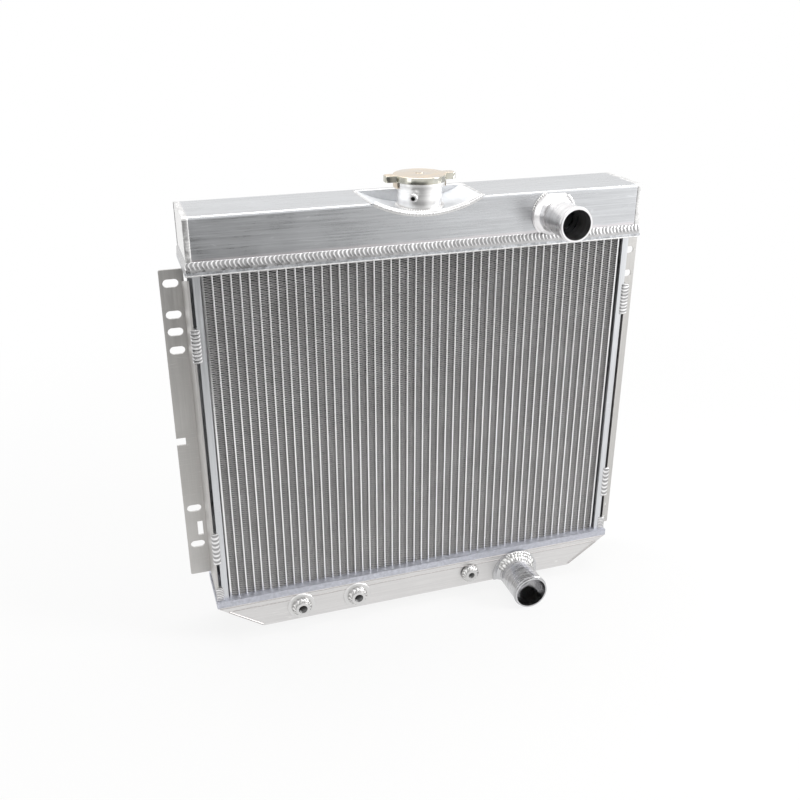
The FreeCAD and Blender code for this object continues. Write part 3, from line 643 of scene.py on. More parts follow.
def fin_strip_mesh(settings, left, low, high, front, rear, seed):
    """One fin strip: a sheet folded to and fro between two tubes, as it goes up."""
    rng = random.Random(seed)
    flat = settings.fold_flat
    folds = round((high - low - flat) / (settings.fold_pitch / 2))
    step = (high - low - flat) / folds
    clear = 0.03 * MM
    x0, x1 = left + clear, left + settings.strip_width - clear
    points = []
    for i in range(folds + 1):
        wander = rng.uniform(-1, 1) * settings.fold_wander if 0 < i < folds else 0.0
        z = low + flat / 2 + i * step + wander
        x = x0 if i % 2 == 0 else x1
        inward = 0.18 * MM if i % 2 == 0 else -0.18 * MM
        points += [(x + inward, z - flat / 2), (x, z - flat / 4)]
        points += [(x, z + flat / 4), (x + inward, z + flat / 2)]
    bm = bmesh.new()
    hem = settings.fin_thickness / 2
    rows = [[bm.verts.new((x, y, z + lift)) for x, z in points]
            for y, lift in ((rear, hem), (front, hem), (front, -hem), (rear, -hem))]
    grid_faces(bm, rows)
    mesh = mesh_from(bm, "fin_strip")
    mesh.set_sharp_from_angle(angle=math.radians(50))
    return mesh


def tube_row_mesh(settings, low, high):
    """One row of flat tubes with round noses."""
    half = settings.tube_thickness / 2
    step = (high.x - low.x - 2 * half) / (settings.tube_count - 1)
    bm = bmesh.new()
    for i in range(settings.tube_count):
        x = low.x + half + i * step
        outline = []
        for centre, start in ((low.y + half, 180), (high.y - half, 0)):
            for k in range(9):
                angle = math.radians(start + 180 * k / 8)
                outline.append((x + half * math.cos(angle), centre + half * math.sin(angle)))
        rows = [[bm.verts.new((px, py, z)) for px, py in outline] for z in (low.z, high.z)]
        grid_faces(bm, rows, closed_columns=True)
        for row in rows:
            bm.faces.new(row)
    mesh = mesh_from(bm, "tube_row")
    mesh.set_sharp_from_angle(angle=math.radians(50))
    return mesh


class RADIATOR_OT_fins(bpy.types.Operator):
    """Folds the fin strips between the tubes"""
    bl_idname = "radiator.fins"
    bl_label = "Fin Strips"

    def execute(self, context):
        settings = context.scene.radiator_core
        low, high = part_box("fin_strips")
        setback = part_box("tubes_front_row")[0].y + settings.fin_setback
        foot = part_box("tubes_front_row")[0].z + settings.fin_foot
        step = (high.x - low.x - settings.strip_width) / (settings.strip_count - 1)
        for i in range(settings.strip_count):
            left = low.x + i * step
            mesh = fin_strip_mesh(settings, left, min(low.z, foot), high.z, setback, -setback, 100 + i)
            piece = add_piece("fin_strip_%02d" % (i + 1), mesh, "fin")
            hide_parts("fin_strips")
        return {"FINISHED"}


class RADIATOR_OT_core(bpy.types.Operator):
    """Makes the round-nosed tubes and finishes the headers, side plates and channels"""
    bl_idname = "radiator.core"
    bl_label = "Core and Headers"

    def execute(self, context):
        for side in ("front", "rear"):
            node = "tubes_%s_row" % side
            low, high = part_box(node)
            mesh = tube_row_mesh(context.scene.radiator_core, low, high)
            piece = add_piece("round_tubes_%s_row" % side, mesh, "tube")
            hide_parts(node)
        finish("header", "upper_header")
        finish("lower_header", "lower_header")
        finish("tube", "left_side_plate", "right_side_plate")
        finish("channel", "left_channel", "right_channel")
        return {"FINISHED"}


# ---------------------------------------------------------------- welds

def header_bead_path():
    """Round the upper tank, on the header's rim; the corners turn about the tank's corners."""
    tank_low, tank_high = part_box("upper_tank_left_end")
    right_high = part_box("upper_tank_right_end")[1]
    bead_low, bead_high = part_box("upper_header_weld")
    rise = Vector((0, 0, bead_high.z - bead_low.z))
    reach = bead_high.y - tank_high.y + 0.25 * MM
    corners = [((tank_low.x, tank_low.y), 225), ((right_high.x, tank_low.y), 315),
               ((right_high.x, tank_high.y), 45), ((tank_low.x, tank_high.y), 135)]
    path = []
    for (x, y), middle in corners:
        for i in range(9):
            angle = math.radians(middle - 45 + 90 * i / 8)
            out = Vector((math.cos(angle), math.sin(angle), 0))
            path.append((Vector((x, y, bead_low.z)), out * reach, rise))
    return path


class RADIATOR_OT_header_weld(bpy.types.Operator):
    """Lays the heavy rippled bead round the upper tank"""
    bl_idname = "radiator.header_weld"
    bl_label = "Header Weld"

    def execute(self, context):
        settings = context.scene.radiator_weld
        mesh = weld_bead("header_weld_bead", header_bead_path(), settings.header_pitch,
                         settings.ripple_height, arc=(-4, 92), closed=True, across=18, lead=1.25,
                         seed=settings.seed, per_ripple=12, sharp=3.0, band=0.66)
        piece = add_piece("header_weld_bead", mesh, "weld")
        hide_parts("upper_header_weld")
        return {"FINISHED"}


def tank_end_path(x):
    """Up the front of the upper tank, over its top and down its rear, on the seam of an end plate."""
    low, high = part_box("upper_tank_left_end")
    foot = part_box("upper_header_weld")[1].z - 0.8 * MM
    side = Vector((3.2 * MM, 0, 0))
    lift = 0.55 * MM
    radius = 3.0 * MM
    steps = 6
    path = [(Vector((x, low.y, foot)), side, Vector((0, -lift, 0)))]
    for y, first in ((low.y + radius, 180), (high.y - radius, 90)):
        centre = Vector((x, y, high.z - radius))
        for i in range(steps + 1):
            angle = math.radians(first - 90 * i / steps)
            out = Vector((0, math.cos(angle), math.sin(angle)))
            path.append((centre + out * radius, side, out * lift))
    path.append((Vector((x, high.y, foot)), side, Vector((0, lift, 0))))
    return path


def saddle_arc():
    """The circle of the saddle's scoop: centre height and radius, from its box."""
    low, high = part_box("filler_saddle")
    outer_half = high.x
    depth = high.z - low.z
    outer_radius = (outer_half ** 2 + depth ** 2) / (2 * depth)
    return low.z + outer_radius, outer_radius


def saddle_front_path(reach, rise):
    """Along the front edge of the saddle's plate."""
    low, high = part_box("filler_saddle")
    centre, outer_radius = saddle_arc()
    radius = outer_radius - 1.6 * MM
    limit = math.acos((centre - high.z) / radius)
    path = []
    for i in range(61):
        angle = -limit + 2 * limit * i / 60
        out = Vector((math.sin(angle), 0, -math.cos(angle)))
        point = Vector((0, low.y, centre)) + out * radius
        path.append((point, out * reach, Vector((0, -rise, 0))))
    return path


def saddle_top_paths():
    """The saddle's seams with the tank's top: left, rear and right."""
    low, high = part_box("filler_saddle")
    up = (0, 0, 0.8 * MM)
    z = high.z
    y0, y1 = low.y + 1 * MM, high.y
    x = high.x
    return [line_path([(-x, y0, z), (-x, y1, z)], (1.7 * MM, 0, 0), up),
            line_path([(-x, y1, z), (x, y1, z)], (0, 1.7 * MM, 0), up),
            line_path([(x, y1, z), (x, y0, z)], (1.7 * MM, 0, 0), up)]


def filler_ring_path():
    """Round the filler neck where it leaves the saddle's curved plate."""
    centre_height, outer_radius = saddle_arc()
    scoop = outer_radius - 2.0 * MM
    middle, radius = end_ring("filler_neck", 2, 0)
    path = []
    for i in range(72):
        angle = 2 * math.pi * i / 72
        out = Vector((math.cos(angle), math.sin(angle), 0))
        x, y = middle.x + out.x * radius, middle.y + out.y * radius
        across = math.sqrt(scoop ** 2 - x ** 2)
        side = Vector((out.x, out.y, out.x * x / across)) * 3.4 * MM
        path.append((Vector((x, y, centre_height - across - 0.1 * MM)), side, Vector((0, 0, 2.8 * MM))))
    return path


def lower_end_paths(sign):
    """The front and rear seams of a sloping end of the lower tank."""
    low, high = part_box("lower_tank")
    plate_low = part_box("lower_tank_right_end")[0]
    top = Vector((high.x, 0, high.z))
    bottom = Vector((plate_low.x + 0.6 * MM, 0, low.z))
    run = (bottom - top).normalized()
    out = Vector((-run.z, 0, run.x))
    paths = []
    for y, depth in ((low.y, -1), (high.y, 1)):
        stations = []
        for point in (top - out * 1.2 * MM + run * 16.0 * MM, bottom - out * 1.2 * MM - run * 2.0 * MM):
            p = Vector((point.x * sign, y - depth * 1.2 * MM, point.z))
            side = Vector((out.x * sign, 0, out.z)) * 1.5 * MM
            stations.append((p, side, Vector((0, depth * 2.4 * MM, 0))))
        paths.append(stations)
    return paths


def lay_bead(name, path, pitch, ripple, seed, look="seam", **options):
    """Adds a small bead as a piece of its own."""
    mesh = weld_bead(name, path, pitch, ripple, seed=seed, **options)
    add_piece(name, mesh, look)


def lay_upper_tank_beads(pitch):
    """The beads at the upper tank's ends, round the saddle and round the filler neck."""
    inward = 0.6 * MM
    for side, end, sign in (("left", 1, 1), ("right", 0, -1)):
        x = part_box("upper_tank_%s_end" % side)[end].x + sign * inward
        lay_bead(side + "_tank_end_weld", tank_end_path(x), pitch, 0.05 * MM, 21, "smooth_weld",
                 arc=HALF_OVAL, across=8)
    lay_bead("saddle_front_weld", saddle_front_path(3.0 * MM, 1.0 * MM), 4.0 * MM, 0.06 * MM, 22,
             "smooth_weld", arc=HALF_OVAL, across=8)
    lay_bead("saddle_front_ripple", saddle_front_path(1.3 * MM, 1.6 * MM), 2.6 * MM, 0.22 * MM, 23,
             arc=HALF_OVAL, across=8, wander=0.3)
    for i, path in enumerate(saddle_top_paths()):
        lay_bead("saddle_top_weld_%d" % (i + 1), path, 2.6 * MM, 0.15 * MM, 30 + i, arc=HALF_OVAL,
                 across=8)
    lay_bead("filler_neck_weld", filler_ring_path(), 2.8 * MM, 0.25 * MM, 41, closed=True, across=7)


def lay_inlet_beads():
    """A smooth and a rough stretch of bead on the inlet's collar."""
    centre = end_ring("inlet_neck", 1, 0)[0]
    centre.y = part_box("upper_tank")[0].y
    low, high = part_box("inlet_neck")
    radius = (high.x - low.x) / 2 - 0.8 * MM
    stretches = ((-40, 52, 0.08, "smooth_weld"), (112, 168, 0.45, "rough_weld"))
    for i, (start, end, ripple, look) in enumerate(stretches):
        path = ring_path(centre, FRONT, radius, 2.2 * MM, 1.9 * MM, start, end, 40, RIGHT)
        lay_bead("inlet_neck_weld_%d" % (i + 1), path, 2.6 * MM, ripple * MM, 42 + i, look, across=7,
                 wander=0.2)


def lay_outlet_beads():
    """Three rough rows, one over the other, on the outlet's collar."""
    centre = end_ring("outlet_neck", 1, 0)[0]
    centre.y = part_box("lower_tank")[0].y - 2.2 * MM
    rows = ((22.4, 4.2, 6.4, 4, 158), (25.6, 4.0, 3.4, 22, 150), (29.2, 3.0, 2.2, 50, 118))
    for i, (radius, reach, rise, start, end) in enumerate(rows):
        path = ring_path(centre, FRONT, radius * MM, reach * MM, rise * MM, start, end, 60, RIGHT)
        lay_bead("outlet_collar_weld_%d" % (i + 1), path, 4.2 * MM, 0.5 * MM, 53 + i, "rough_weld",
                 across=9, arc=(-5, 120), wander=0.3)


def ports():
    """The mouth of each cooler port and of the drain, with the radius of its thread and of its boss."""
    low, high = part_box("cooler_fittings")
    disc = (high.z - low.z) / 2
    found = [(Vector((x, low.y, (low.z + high.z) / 2)), 5.6 * MM, 9.0 * MM)
             for x in (low.x + disc, high.x - disc)]
    low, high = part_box("drain_boss")
    middle = (low + high) / 2
    found.append((Vector((middle.x, low.y, middle.z)), 4.2 * MM, (high.x - low.x) / 2))
    return found


def lay_port_beads():
    """Smooth rings round the discs of the cooler fittings, and a rough ring round each boss."""
    lower_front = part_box("lower_tank")[0].y
    low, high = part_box("cooler_fittings")
    disc = (high.z - low.z) / 2
    for i, (mouth, _, _) in enumerate(ports()[:2]):
        centre = Vector((mouth.x, lower_front, mouth.z))
        path = ring_path(centre, FRONT, disc - 0.2 * MM, 1.3 * MM, 1.7 * MM, steps=60, zero=UP)
        lay_bead("cooler_disc_weld_%d" % (i + 1), path, 2.6 * MM, 0.12 * MM, 60 + i, "smooth_weld",
                 closed=True, across=6)
    for i, (mouth, _, boss) in enumerate(ports()):
        centre = Vector((mouth.x, lower_front - 1.6 * MM, mouth.z))
        path = ring_path(centre, FRONT, boss - 0.4 * MM, 4.4 * MM, 6.2 * MM, steps=60, zero=UP)
        lay_bead("port_weld_%d" % (i + 1), path, 4.2 * MM, 0.45 * MM, 64 + i, "rough_weld",
                 closed=True, across=9, arc=(0, 88), wander=0.3, lead=1.0)


def lay_header_lines():
    """The thin lip at the upper header's foot and the wavy seams below the lower header."""
    low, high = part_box("upper_header")
    z = low.z + 0.7 * MM
    path = line_path([(low.x, low.y, z), (high.x, low.y, z)], (0, 0, 0.7 * MM), (0, -0.3 * MM, 0))
    lay_bead("upper_header_lip", path, 6.0 * MM, 0.02 * MM, 66, "smooth_weld", arc=HALF_OVAL, across=6)
    low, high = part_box("lower_header")
    half_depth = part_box("lower_tank")[1].y
    rng = random.Random(68)
    waves = 40
    for side, out in (("front", -1), ("rear", 1)):
        for i, (drop, inset) in enumerate(((1.2, 3.0), (7.6, 18.0))):
            x = high.x - inset * MM
            points = []
            for k in range(waves + 1):
                z = low.z - (drop + rng.uniform(-0.3, 0.3)) * MM
                points.append((-x + 2 * x * k / waves, out * half_depth, z))
            path = line_path(points, (0, 0, 0.75 * MM), (0, out * 0.5 * MM, 0))
            lay_bead("lower_header_%s_seam_%d" % (side, i + 1), path, 5.0 * MM, 0.05 * MM, 68 + i,
                     "seam_line", arc=HALF_OVAL, across=6)


def lay_lower_end_beads():
    """The seams of the lower tank's sloping ends."""
    for side, sign in (("left", -1), ("right", 1)):
        for i, path in enumerate(lower_end_paths(sign)):
            lay_bead("%s_lower_end_weld_%d" % (side, i + 1), path, 4.0 * MM, 0.08 * MM, 70 + i,
                     "seam_line", arc=(-20, 150), across=10)


class RADIATOR_OT_seam_welds(bpy.types.Operator):
    """Lays the smaller beads at the tank ends, the saddle, the necks and the fittings"""
    bl_idname = "radiator.seam_welds"
    bl_label = "Seam Welds"

    def execute(self, context):
        lay_upper_tank_beads(context.scene.radiator_weld.seam_pitch)
        lay_inlet_beads()
        lay_outlet_beads()
        lay_port_beads()
        lay_header_lines()
        lay_lower_end_beads()
        return {"FINISHED"}


# half width, ripple height and pitch of each pad, from the lowest, in millimetres
PAD_WELDS = ((4.9, 0.3, 2.6), (4.6, 0.12, 6.0), (5.2, 0.35, 4.4))


class RADIATOR_OT_bracket_welds(bpy.types.Operator):
    """Lays the rippled pads that join each channel to its bracket"""
    bl_idname = "radiator.bracket_welds"
    bl_label = "Bracket Welds"

    def execute(self, context):
        for side in ("left", "right"):
            node = side + "_bracket_welds"
            finish("seam", node)
            low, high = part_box(node)
            x = (low.x + high.x) / 2
            y = low.y + 0.8 * MM
            levels = sorted({round(v.co.z, 5) for v in NODES[node].data.vertices})
            heights = zip(levels[::2], levels[1::2], PAD_WELDS)
            for i, (z0, z1, (half, ripple, pitch)) in enumerate(heights):
                path = line_path([(x, y, z0 + 0.8 * MM), (x, y, z1 - 0.8 * MM)], (half * MM, 0, 0),
                                 (0, -1.35 * MM, 0))
                lay_bead("%s_pad_weld_%d" % (side, i + 1), path, pitch * MM, ripple * MM, 80 + i, "weld",
                         arc=HALF_OVAL, across=10)
        return {"FINISHED"}


# ---------------------------------------------------------------- tanks, necks, brackets

class RADIATOR_OT_tanks(bpy.types.Operator):
    """Finishes the two tanks and the filler saddle"""
    bl_idname = "radiator.tanks"
    bl_label = "Tanks"

    def execute(self, context):
        finish("tank", "upper_tank")
        finish("tank_end", "upper_tank_left_end", "upper_tank_right_end")
        finish("saddle", "filler_saddle")
        finish("lower_tank", "lower_tank", "lower_tank_left_end", "lower_tank_right_end")
        finish("brass", "oil_cooler")
        return {"FINISHED"}


def thread_mesh(name, mouth, radius):
    """The turns of a pipe thread, from a port's mouth inwards."""
    start = 0.4 * MM
    pitch = 1.4 * MM
    depth = 0.65 * MM
    turns = 9
    profile = []
    for k in range(turns):
        profile += [(radius, start + k * pitch), (radius - depth, start + (k + 0.5) * pitch)]
    profile.append((radius, start + turns * pitch))
    return lathe(name, profile, mouth, (0, 1, 0), 40)


def outlet_bore_mesh():
    """The polished skin inside the outlet neck."""
    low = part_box("outlet_neck")[0]
    middle, radius = end_ring("outlet_neck", 1, 0)
    bore = radius - 2.0 * MM
    profile = [(bore, 1.0 * MM), (bore, 40.0 * MM)]
    mesh = lathe("outlet_bore", profile, (middle.x, low.y, middle.z), (0, 1, 0))
    mesh.flip_normals()
    return mesh


class RADIATOR_OT_necks(bpy.types.Operator):
    """Finishes the hose necks, the overflow nipple, the fittings and the drain boss"""
    bl_idname = "radiator.necks"
    bl_label = "Necks and Fittings"

    def execute(self, context):
        finish("polished_y", "inlet_neck")
        finish("turned_y", "outlet_neck")
        finish("boss", "cooler_fittings", "drain_boss")
        finish("turned_z", "filler_neck", "overflow_nipple")
        add_piece("outlet_bore", outlet_bore_mesh(), "bore")
        for i, (mouth, thread, _) in enumerate(ports()):
            name = "port_thread_%d" % (i + 1)
            # The threads take a near-black finish, as painted shade inside the ports.
            add_piece(name, thread_mesh(name, mouth, thread), "thread")
        return {"FINISHED"}


class RADIATOR_OT_brackets(bpy.types.Operator):
    """Finishes the two slotted side brackets"""
    bl_idname = "radiator.brackets"
    bl_label = "Side Brackets"

    def execute(self, context):
        finish("bracket", "left_bracket", "right_bracket")
        return {"FINISHED"}


# ---------------------------------------------------------------- pressure cap

def cap_outline(settings, radius, reach, inset, steps):
    """The cover's outline seen from above, moved in by inset: a disc with two rounded ears."""
    points = []
    for i in range(steps):
        angle = 2 * math.pi * i / steps
        along = abs(math.cos(angle)) / reach
        across = abs(math.sin(angle)) / settings.ear_half_width
        ear = (along ** 8 + across ** 8) ** (-1 / 8)
        r = max(radius, ear) - inset
        points.append((r * math.cos(angle), r * math.sin(angle)))
    return points


def cap_cover_mesh(settings, centre, radius, reach, top, bottom, hole, steps=360):
    """The pressed cover: a crowned disc and ears with one skirt all round them."""
    crown = settings.crown
    sheet = settings.sheet
    bm = bmesh.new()
    rows = []

    def outline_row(inset, z):
        rows.append([bm.verts.new((centre.x + x, centre.y + y, z))
                     for x, y in cap_outline(settings, radius, reach, inset, steps)])

    def round_row(r, z):
        angles = [2 * math.pi * i / steps for i in range(steps)]
        rows.append([bm.verts.new((centre.x + r * math.cos(angle), centre.y + r * math.sin(angle), z))
                     for angle in angles])

    round_row(hole, top)
    round_row(16.5 * MM, top)
    round_row(18.5 * MM, top - crown * 0.25)
    round_row(26.0 * MM, top - crown * 0.9)
    for inset, drop in ((1.0, 0.0), (0.6, 0.08), (0.25, 0.3), (0.06, 0.6), (0.0, 1.0)):
        outline_row(inset * MM, top - crown - drop * MM)
    outline_row(0.0, bottom + 0.3 * MM)
    outline_row(0.3 * MM, bottom)
    outline_row(sheet, bottom)
    outline_row(sheet, top - crown - sheet - 1.0 * MM)
    outline_row(sheet + 1.0 * MM, top - crown - sheet)
    round_row(26.0 * MM, top - crown * 0.9 - sheet)
    round_row(16.5 * MM, top - sheet)
    round_row(hole, top - sheet)
    grid_faces(bm, rows, closed_rows=True, closed_columns=True)
    # Faces below the shoulder take the skirt's material, a darker copy of the cover's plating that is
    # painted shade.
    shoulder = top - crown - 0.45 * MM
    for face in bm.faces:
        face.material_index = int(face.calc_center_median().z < shoulder)
    mesh = mesh_from(bm, "cap_cover_pressing")
    mesh.set_sharp_from_angle(angle=math.radians(40))
    return mesh


def sector_solid(bm, centre, r0, r1, z0, z1, middle, half, steps=10):
    """Adds a ring sector centred on a heading."""
    rows = []
    for r, z in ((r0, z0), (r1, z0), (r1, z1), (r0, z1)):
        row = []
        for i in range(steps + 1):
            angle = math.radians(middle - half + 2 * half * i / steps)
            row.append(bm.verts.new((centre.x + r * math.cos(angle), centre.y + r * math.sin(angle), z)))
        rows.append(row)
    grid_faces(bm, rows, closed_rows=True)
    for end in (0, -1):
        bm.faces.new([row[end] for row in rows])


def spring_mesh(name, low, high, wire, turns, steps=32, around=12):
    """A coil spring of round wire that fills a box, with a closed turn at each end."""
    centre = (low + high) / 2
    radius = (high.x - low.x - wire) / 2
    closing = wire * 1.08
    bottom, top = low.z + wire / 2, high.z - wire / 2
    total = turns + 2
    bm = bmesh.new()
    rows = []
    for i in range(total * steps + 1):
        turn = i / steps
        share = min(max((turn - 1) / turns, 0.0), 1.0)
        z = bottom + closing * min(turn, 1.0) + (top - bottom - 2 * closing) * share
        z += closing * max(turn - turns - 1, 0.0)
        angle = 2 * math.pi * turn
        row = []
        for k in range(around):
            side = 2 * math.pi * k / around
            r = radius + math.cos(side) * wire / 2
            row.append(bm.verts.new((centre.x + r * math.cos(angle), centre.y + r * math.sin(angle),
                                     z + math.sin(side) * wire / 2)))
        rows.append(row)
    grid_faces(bm, rows, closed_columns=True)
    for row in (rows[0], rows[-1]):
        bm.faces.new(row)
    return mesh_from(bm, name)


class RADIATOR_OT_cap(bpy.types.Operator):
    """Presses the cap's cover with its ears and tongues, and finishes the valves"""
    bl_idname = "radiator.cap"
    bl_label = "Pressure Cap"

    def execute(self, context):
        settings = context.scene.radiator_cap
        low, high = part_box("cap_cover")
        centre = (low + high) / 2
        radius = (high.y - low.y) / 2
        reach = (high.x - low.x) / 2
        skirt_bottom = high.z - 8.2 * MM
        mesh = cap_cover_mesh(settings, centre, radius, reach, high.z, skirt_bottom, 3.1 * MM)
        cover = add_piece("cap_cover_pressing", mesh, "cap_plating", "cap_cover")
        # The skirt's material is the cover's plating darkened as painted shade.
        mesh.materials.append(MATERIALS["cap_skirt"])
        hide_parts("cap_cover")
        bm = bmesh.new()
        for middle in (0, 180):
            drop = (radius - 1.2 * MM, radius, low.z, high.z - 1.9 * MM)
            hook = (radius - 4.2 * MM, radius - 1.1 * MM, low.z, low.z + 1.2 * MM)
            for size in (drop, hook):
                sector_solid(bm, centre, *size, middle, 15)
        mesh = mesh_from(bm, "cap_tongues", smooth=False)
        tongues = add_piece("cap_tongues", mesh, "cap_plating", "cap_cover")
        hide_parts("cap_cover")
        finish("cap_plating", "cap_rivet")
        finish("cap_steel", "cap_diaphragm", "cap_bell", "cap_pressure_plate")
        for node, wire, turns, upper in (("cap_pressure_spring", 1.6, 3, "cap"),
                                         ("cap_vacuum_spring", 0.6, 2, "vacuum_valve")):
            low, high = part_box(node)
            middle = (low + high) / 2
            name = node.replace("spring", "coil")
            mesh = spring_mesh(name, low, high, wire * MM, turns)
            coil = add_piece(name, mesh, "cap_steel", None)
            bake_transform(coil)
            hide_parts(node)
        finish("rubber", "cap_pressure_seal")
        finish("brass", "cap_vacuum_valve")
        return {"FINISHED"}


# ---------------------------------------------------------------- finishes and stage

class RADIATOR_OT_finishes(bpy.types.Operator):
    """Makes the shared effects and the materials"""
    bl_idname = "radiator.finishes"
    bl_label = "Finishes"

    def execute(self, context):
        settings = context.scene.radiator_finish
        build_groups()
        tank = tuple(settings.tank_colour)
        bracket = tuple(settings.bracket_colour)
        cap = tuple(settings.cap_colour)
        pale = scaled(tank, 1.15)
        along_x = (25.0, 1600.0, 1600.0)
        along_z = (1600.0, 1600.0, 25.0)
        frosty = (700.0, 700.0, 700.0)
        weld_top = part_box("upper_header_weld")[1].z
        tank_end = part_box("upper_tank")[1].x
        sheets = {
            "tank": ("Brushed tank sheet", tank, along_x, 0.24, 0.36, 0.12, 0.3,
                     [("Z", weld_top, 0.006, 0.8), ("X", tank_end, 0.008, 0.9)]),
            "tank_end": ("Tank end sheet", (0.90, 0.895, 0.89), frosty, 0.45, 0.6, 0.04, 0.1),
            "saddle": ("Saddle sheet", scaled(pale, 1.08), (900.0, 60.0, 900.0), 0.45, 0.56, 0.05),
            "lower_tank": ("Lower tank sheet", (0.71, 0.70, 0.695), along_x, 0.34, 0.46, 0.05, 0.2),
            "header": ("Header sheet", (0.52, 0.53, 0.55), frosty, 0.3, 0.45, 0.4, 0.8),
            "lower_header": ("Lower header sheet", (0.54, 0.55, 0.60), frosty, 0.55, 0.7, 0.2, 0.6),
            "channel": ("Channel sheet", pale, along_z, 0.34, 0.5, 0.06, 0.15),
            "bracket": ("Bracket sheet", bracket, along_z, 0.38, 0.55, 0.06, 0.15),
            "tube": ("Tube metal", (0.92, 0.92, 0.92), along_z, 0.2, 0.3, 0.06, 0.1)}
        # The last figure of each weld is how dark its hollows are, partly soot and partly painted shade.
        welds = {
            "weld": ("Header weld", (0.84, 0.835, 0.84), (0.22, 0.4), 0.42),
            "seam": ("Seam weld", (0.80, 0.795, 0.79), (0.28, 0.45), 0.7),
            "rough_weld": ("Rough weld", (0.76, 0.755, 0.745), (0.24, 0.42), 0.5),
            "seam_line": ("Seam line", (0.52, 0.50, 0.495), (0.4, 0.5), 0.9),
            "smooth_weld": ("Smooth weld", (0.74, 0.735, 0.73), (0.3, 0.45), 0.95)}
        turned = {
            "turned_y": ("Turned neck", (0.60, 0.60, 0.61), "Y", 0.0013, (0.2, 0.32), 0.3),
            "polished_y": ("Polished neck", (0.86, 0.85, 0.855), "Y", 0.003, (0.26, 0.34), 0.02),
            "bore": ("Polished bore", (0.90, 0.895, 0.90), "Y", 0.003, (0.12, 0.2), 0.02),
            "boss": ("Fitting", (0.72, 0.715, 0.71), "Y", 0.0009, (0.3, 0.42), 0.1),
            # The thread's near-black colour is painted shade for the depth of each port.
            "thread": ("Thread", (0.16, 0.16, 0.16), "Y", 0.0009, (0.4, 0.5), 0.1),
            "turned_z": ("Turned filler", (0.78, 0.775, 0.77), "Z", 0.0012, (0.3, 0.42), 0.15)}
        plated = {
            "cap_plating": ("Yellow zinc plating", cap, (0.70, 0.59, 0.46), (0.28, 0.38)),
            # The skirt's darker, greyer copy of the cap plating is painted shade.
            "cap_skirt": ("Skirt plating", (0.60, 0.595, 0.54), (0.52, 0.50, 0.42), (0.1, 0.16)),
            "cap_steel": ("Valve steel", (0.62, 0.62, 0.63), (0.52, 0.51, 0.50), (0.25, 0.4)),
            "brass": ("Brass", (0.68, 0.52, 0.26), (0.58, 0.42, 0.22), (0.25, 0.42))}
        for make, finishes in ((sheet_metal, sheets), (weld_metal, welds), (turned_metal, turned),
                               (plated_steel, plated)):
            for key, values in finishes.items():
                MATERIALS[key] = make(*values)
        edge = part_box("tubes_rear_row")[1].y - context.scene.radiator_core.fin_setback
        # The fins' painted shade is darkest from 0.9 mm behind their edges inwards.
        MATERIALS["fin"] = fin_metal("Brazed fins", tuple(settings.fin_colour), edge, edge - 0.9 * MM)
        MATERIALS["rubber"] = moulded_rubber("Seal rubber")
        return {"FINISHED"}


def area_light(name, place, target, size, power):
    """A rectangular soft box."""
    data = bpy.data.lights.new(name, "AREA")
    data.shape = "RECTANGLE"
    data.size, data.size_y = size
    data.energy = power
    light = bpy.data.objects.new(name, data)
    bpy.context.scene.collection.objects.link(light)
    light.location = place
    light.rotation_mode = "QUATERNION"
    light.rotation_quaternion = (Vector(target) - Vector(place)).to_track_quat("-Z", "Y")


def seen_directly(graph):
    """One for what the camera, a mirror or a glass sees, and zero for diffuse light."""
    rays = graph.add("ShaderNodeLightPath")
    seen = graph.math("MAXIMUM", rays.outputs["Is Camera Ray"], rays.outputs["Is Glossy Ray"])
    return graph.math("MAXIMUM", seen, rays.outputs["Is Transmission Ray"])


def stage_sheet(name, corners, material_name):
    """A flat sheet of the stage; gives the sheet, its material's graph and where the surface goes."""
    bm = bmesh.new()
    bm.faces.new([bm.verts.new(corner) for corner in corners])
    mesh = bpy.data.meshes.new(name)
    bm.to_mesh(mesh)
    bm.free()
    sheet = bpy.data.objects.new(name, mesh)
    bpy.context.scene.collection.objects.link(sheet)
    material = bpy.data.materials.new(material_name)
    material.use_nodes = True
    material.node_tree.nodes.clear()
    mesh.materials.append(material)
    graph = Graph(material.node_tree)
    return sheet, graph, graph.add("ShaderNodeOutputMaterial").inputs["Surface"]


def build_floor():
    """A pale floor that fades into the white backdrop and keeps a light shadow."""
    half = 6.0
    z = cad_box[0].z - 0.0002
    corners = [(-half, -half, z), (half, -half, z), (half, half, z), (-half, half, z)]
    _, graph, surface = stage_sheet("floor", corners, "Pale floor")
    diffuse = graph.set(graph.add("ShaderNodeBsdfDiffuse"), Color=(0.8, 0.8, 0.79, 1.0))
    length = graph.add("ShaderNodeVectorMath", operation="LENGTH")
    graph.join(graph.add("ShaderNodeTexCoord").outputs["Object"], length.inputs[0])
    share = graph.ramp(length.outputs["Value"], 0.3, 1.3, 0.84, 1.0)
    white = graph.set(graph.add("ShaderNodeEmission"), Color=(1.0, 1.0, 1.0, 1.0), Strength=1.0)
    mix = graph.add("ShaderNodeMixShader")
    graph.join(graph.math("MULTIPLY", seen_directly(graph), share), mix.inputs[0])
    graph.join(diffuse.outputs[0], mix.inputs[1])
    graph.join(white.outputs[0], mix.inputs[2])
    graph.join(mix.outputs[0], surface)


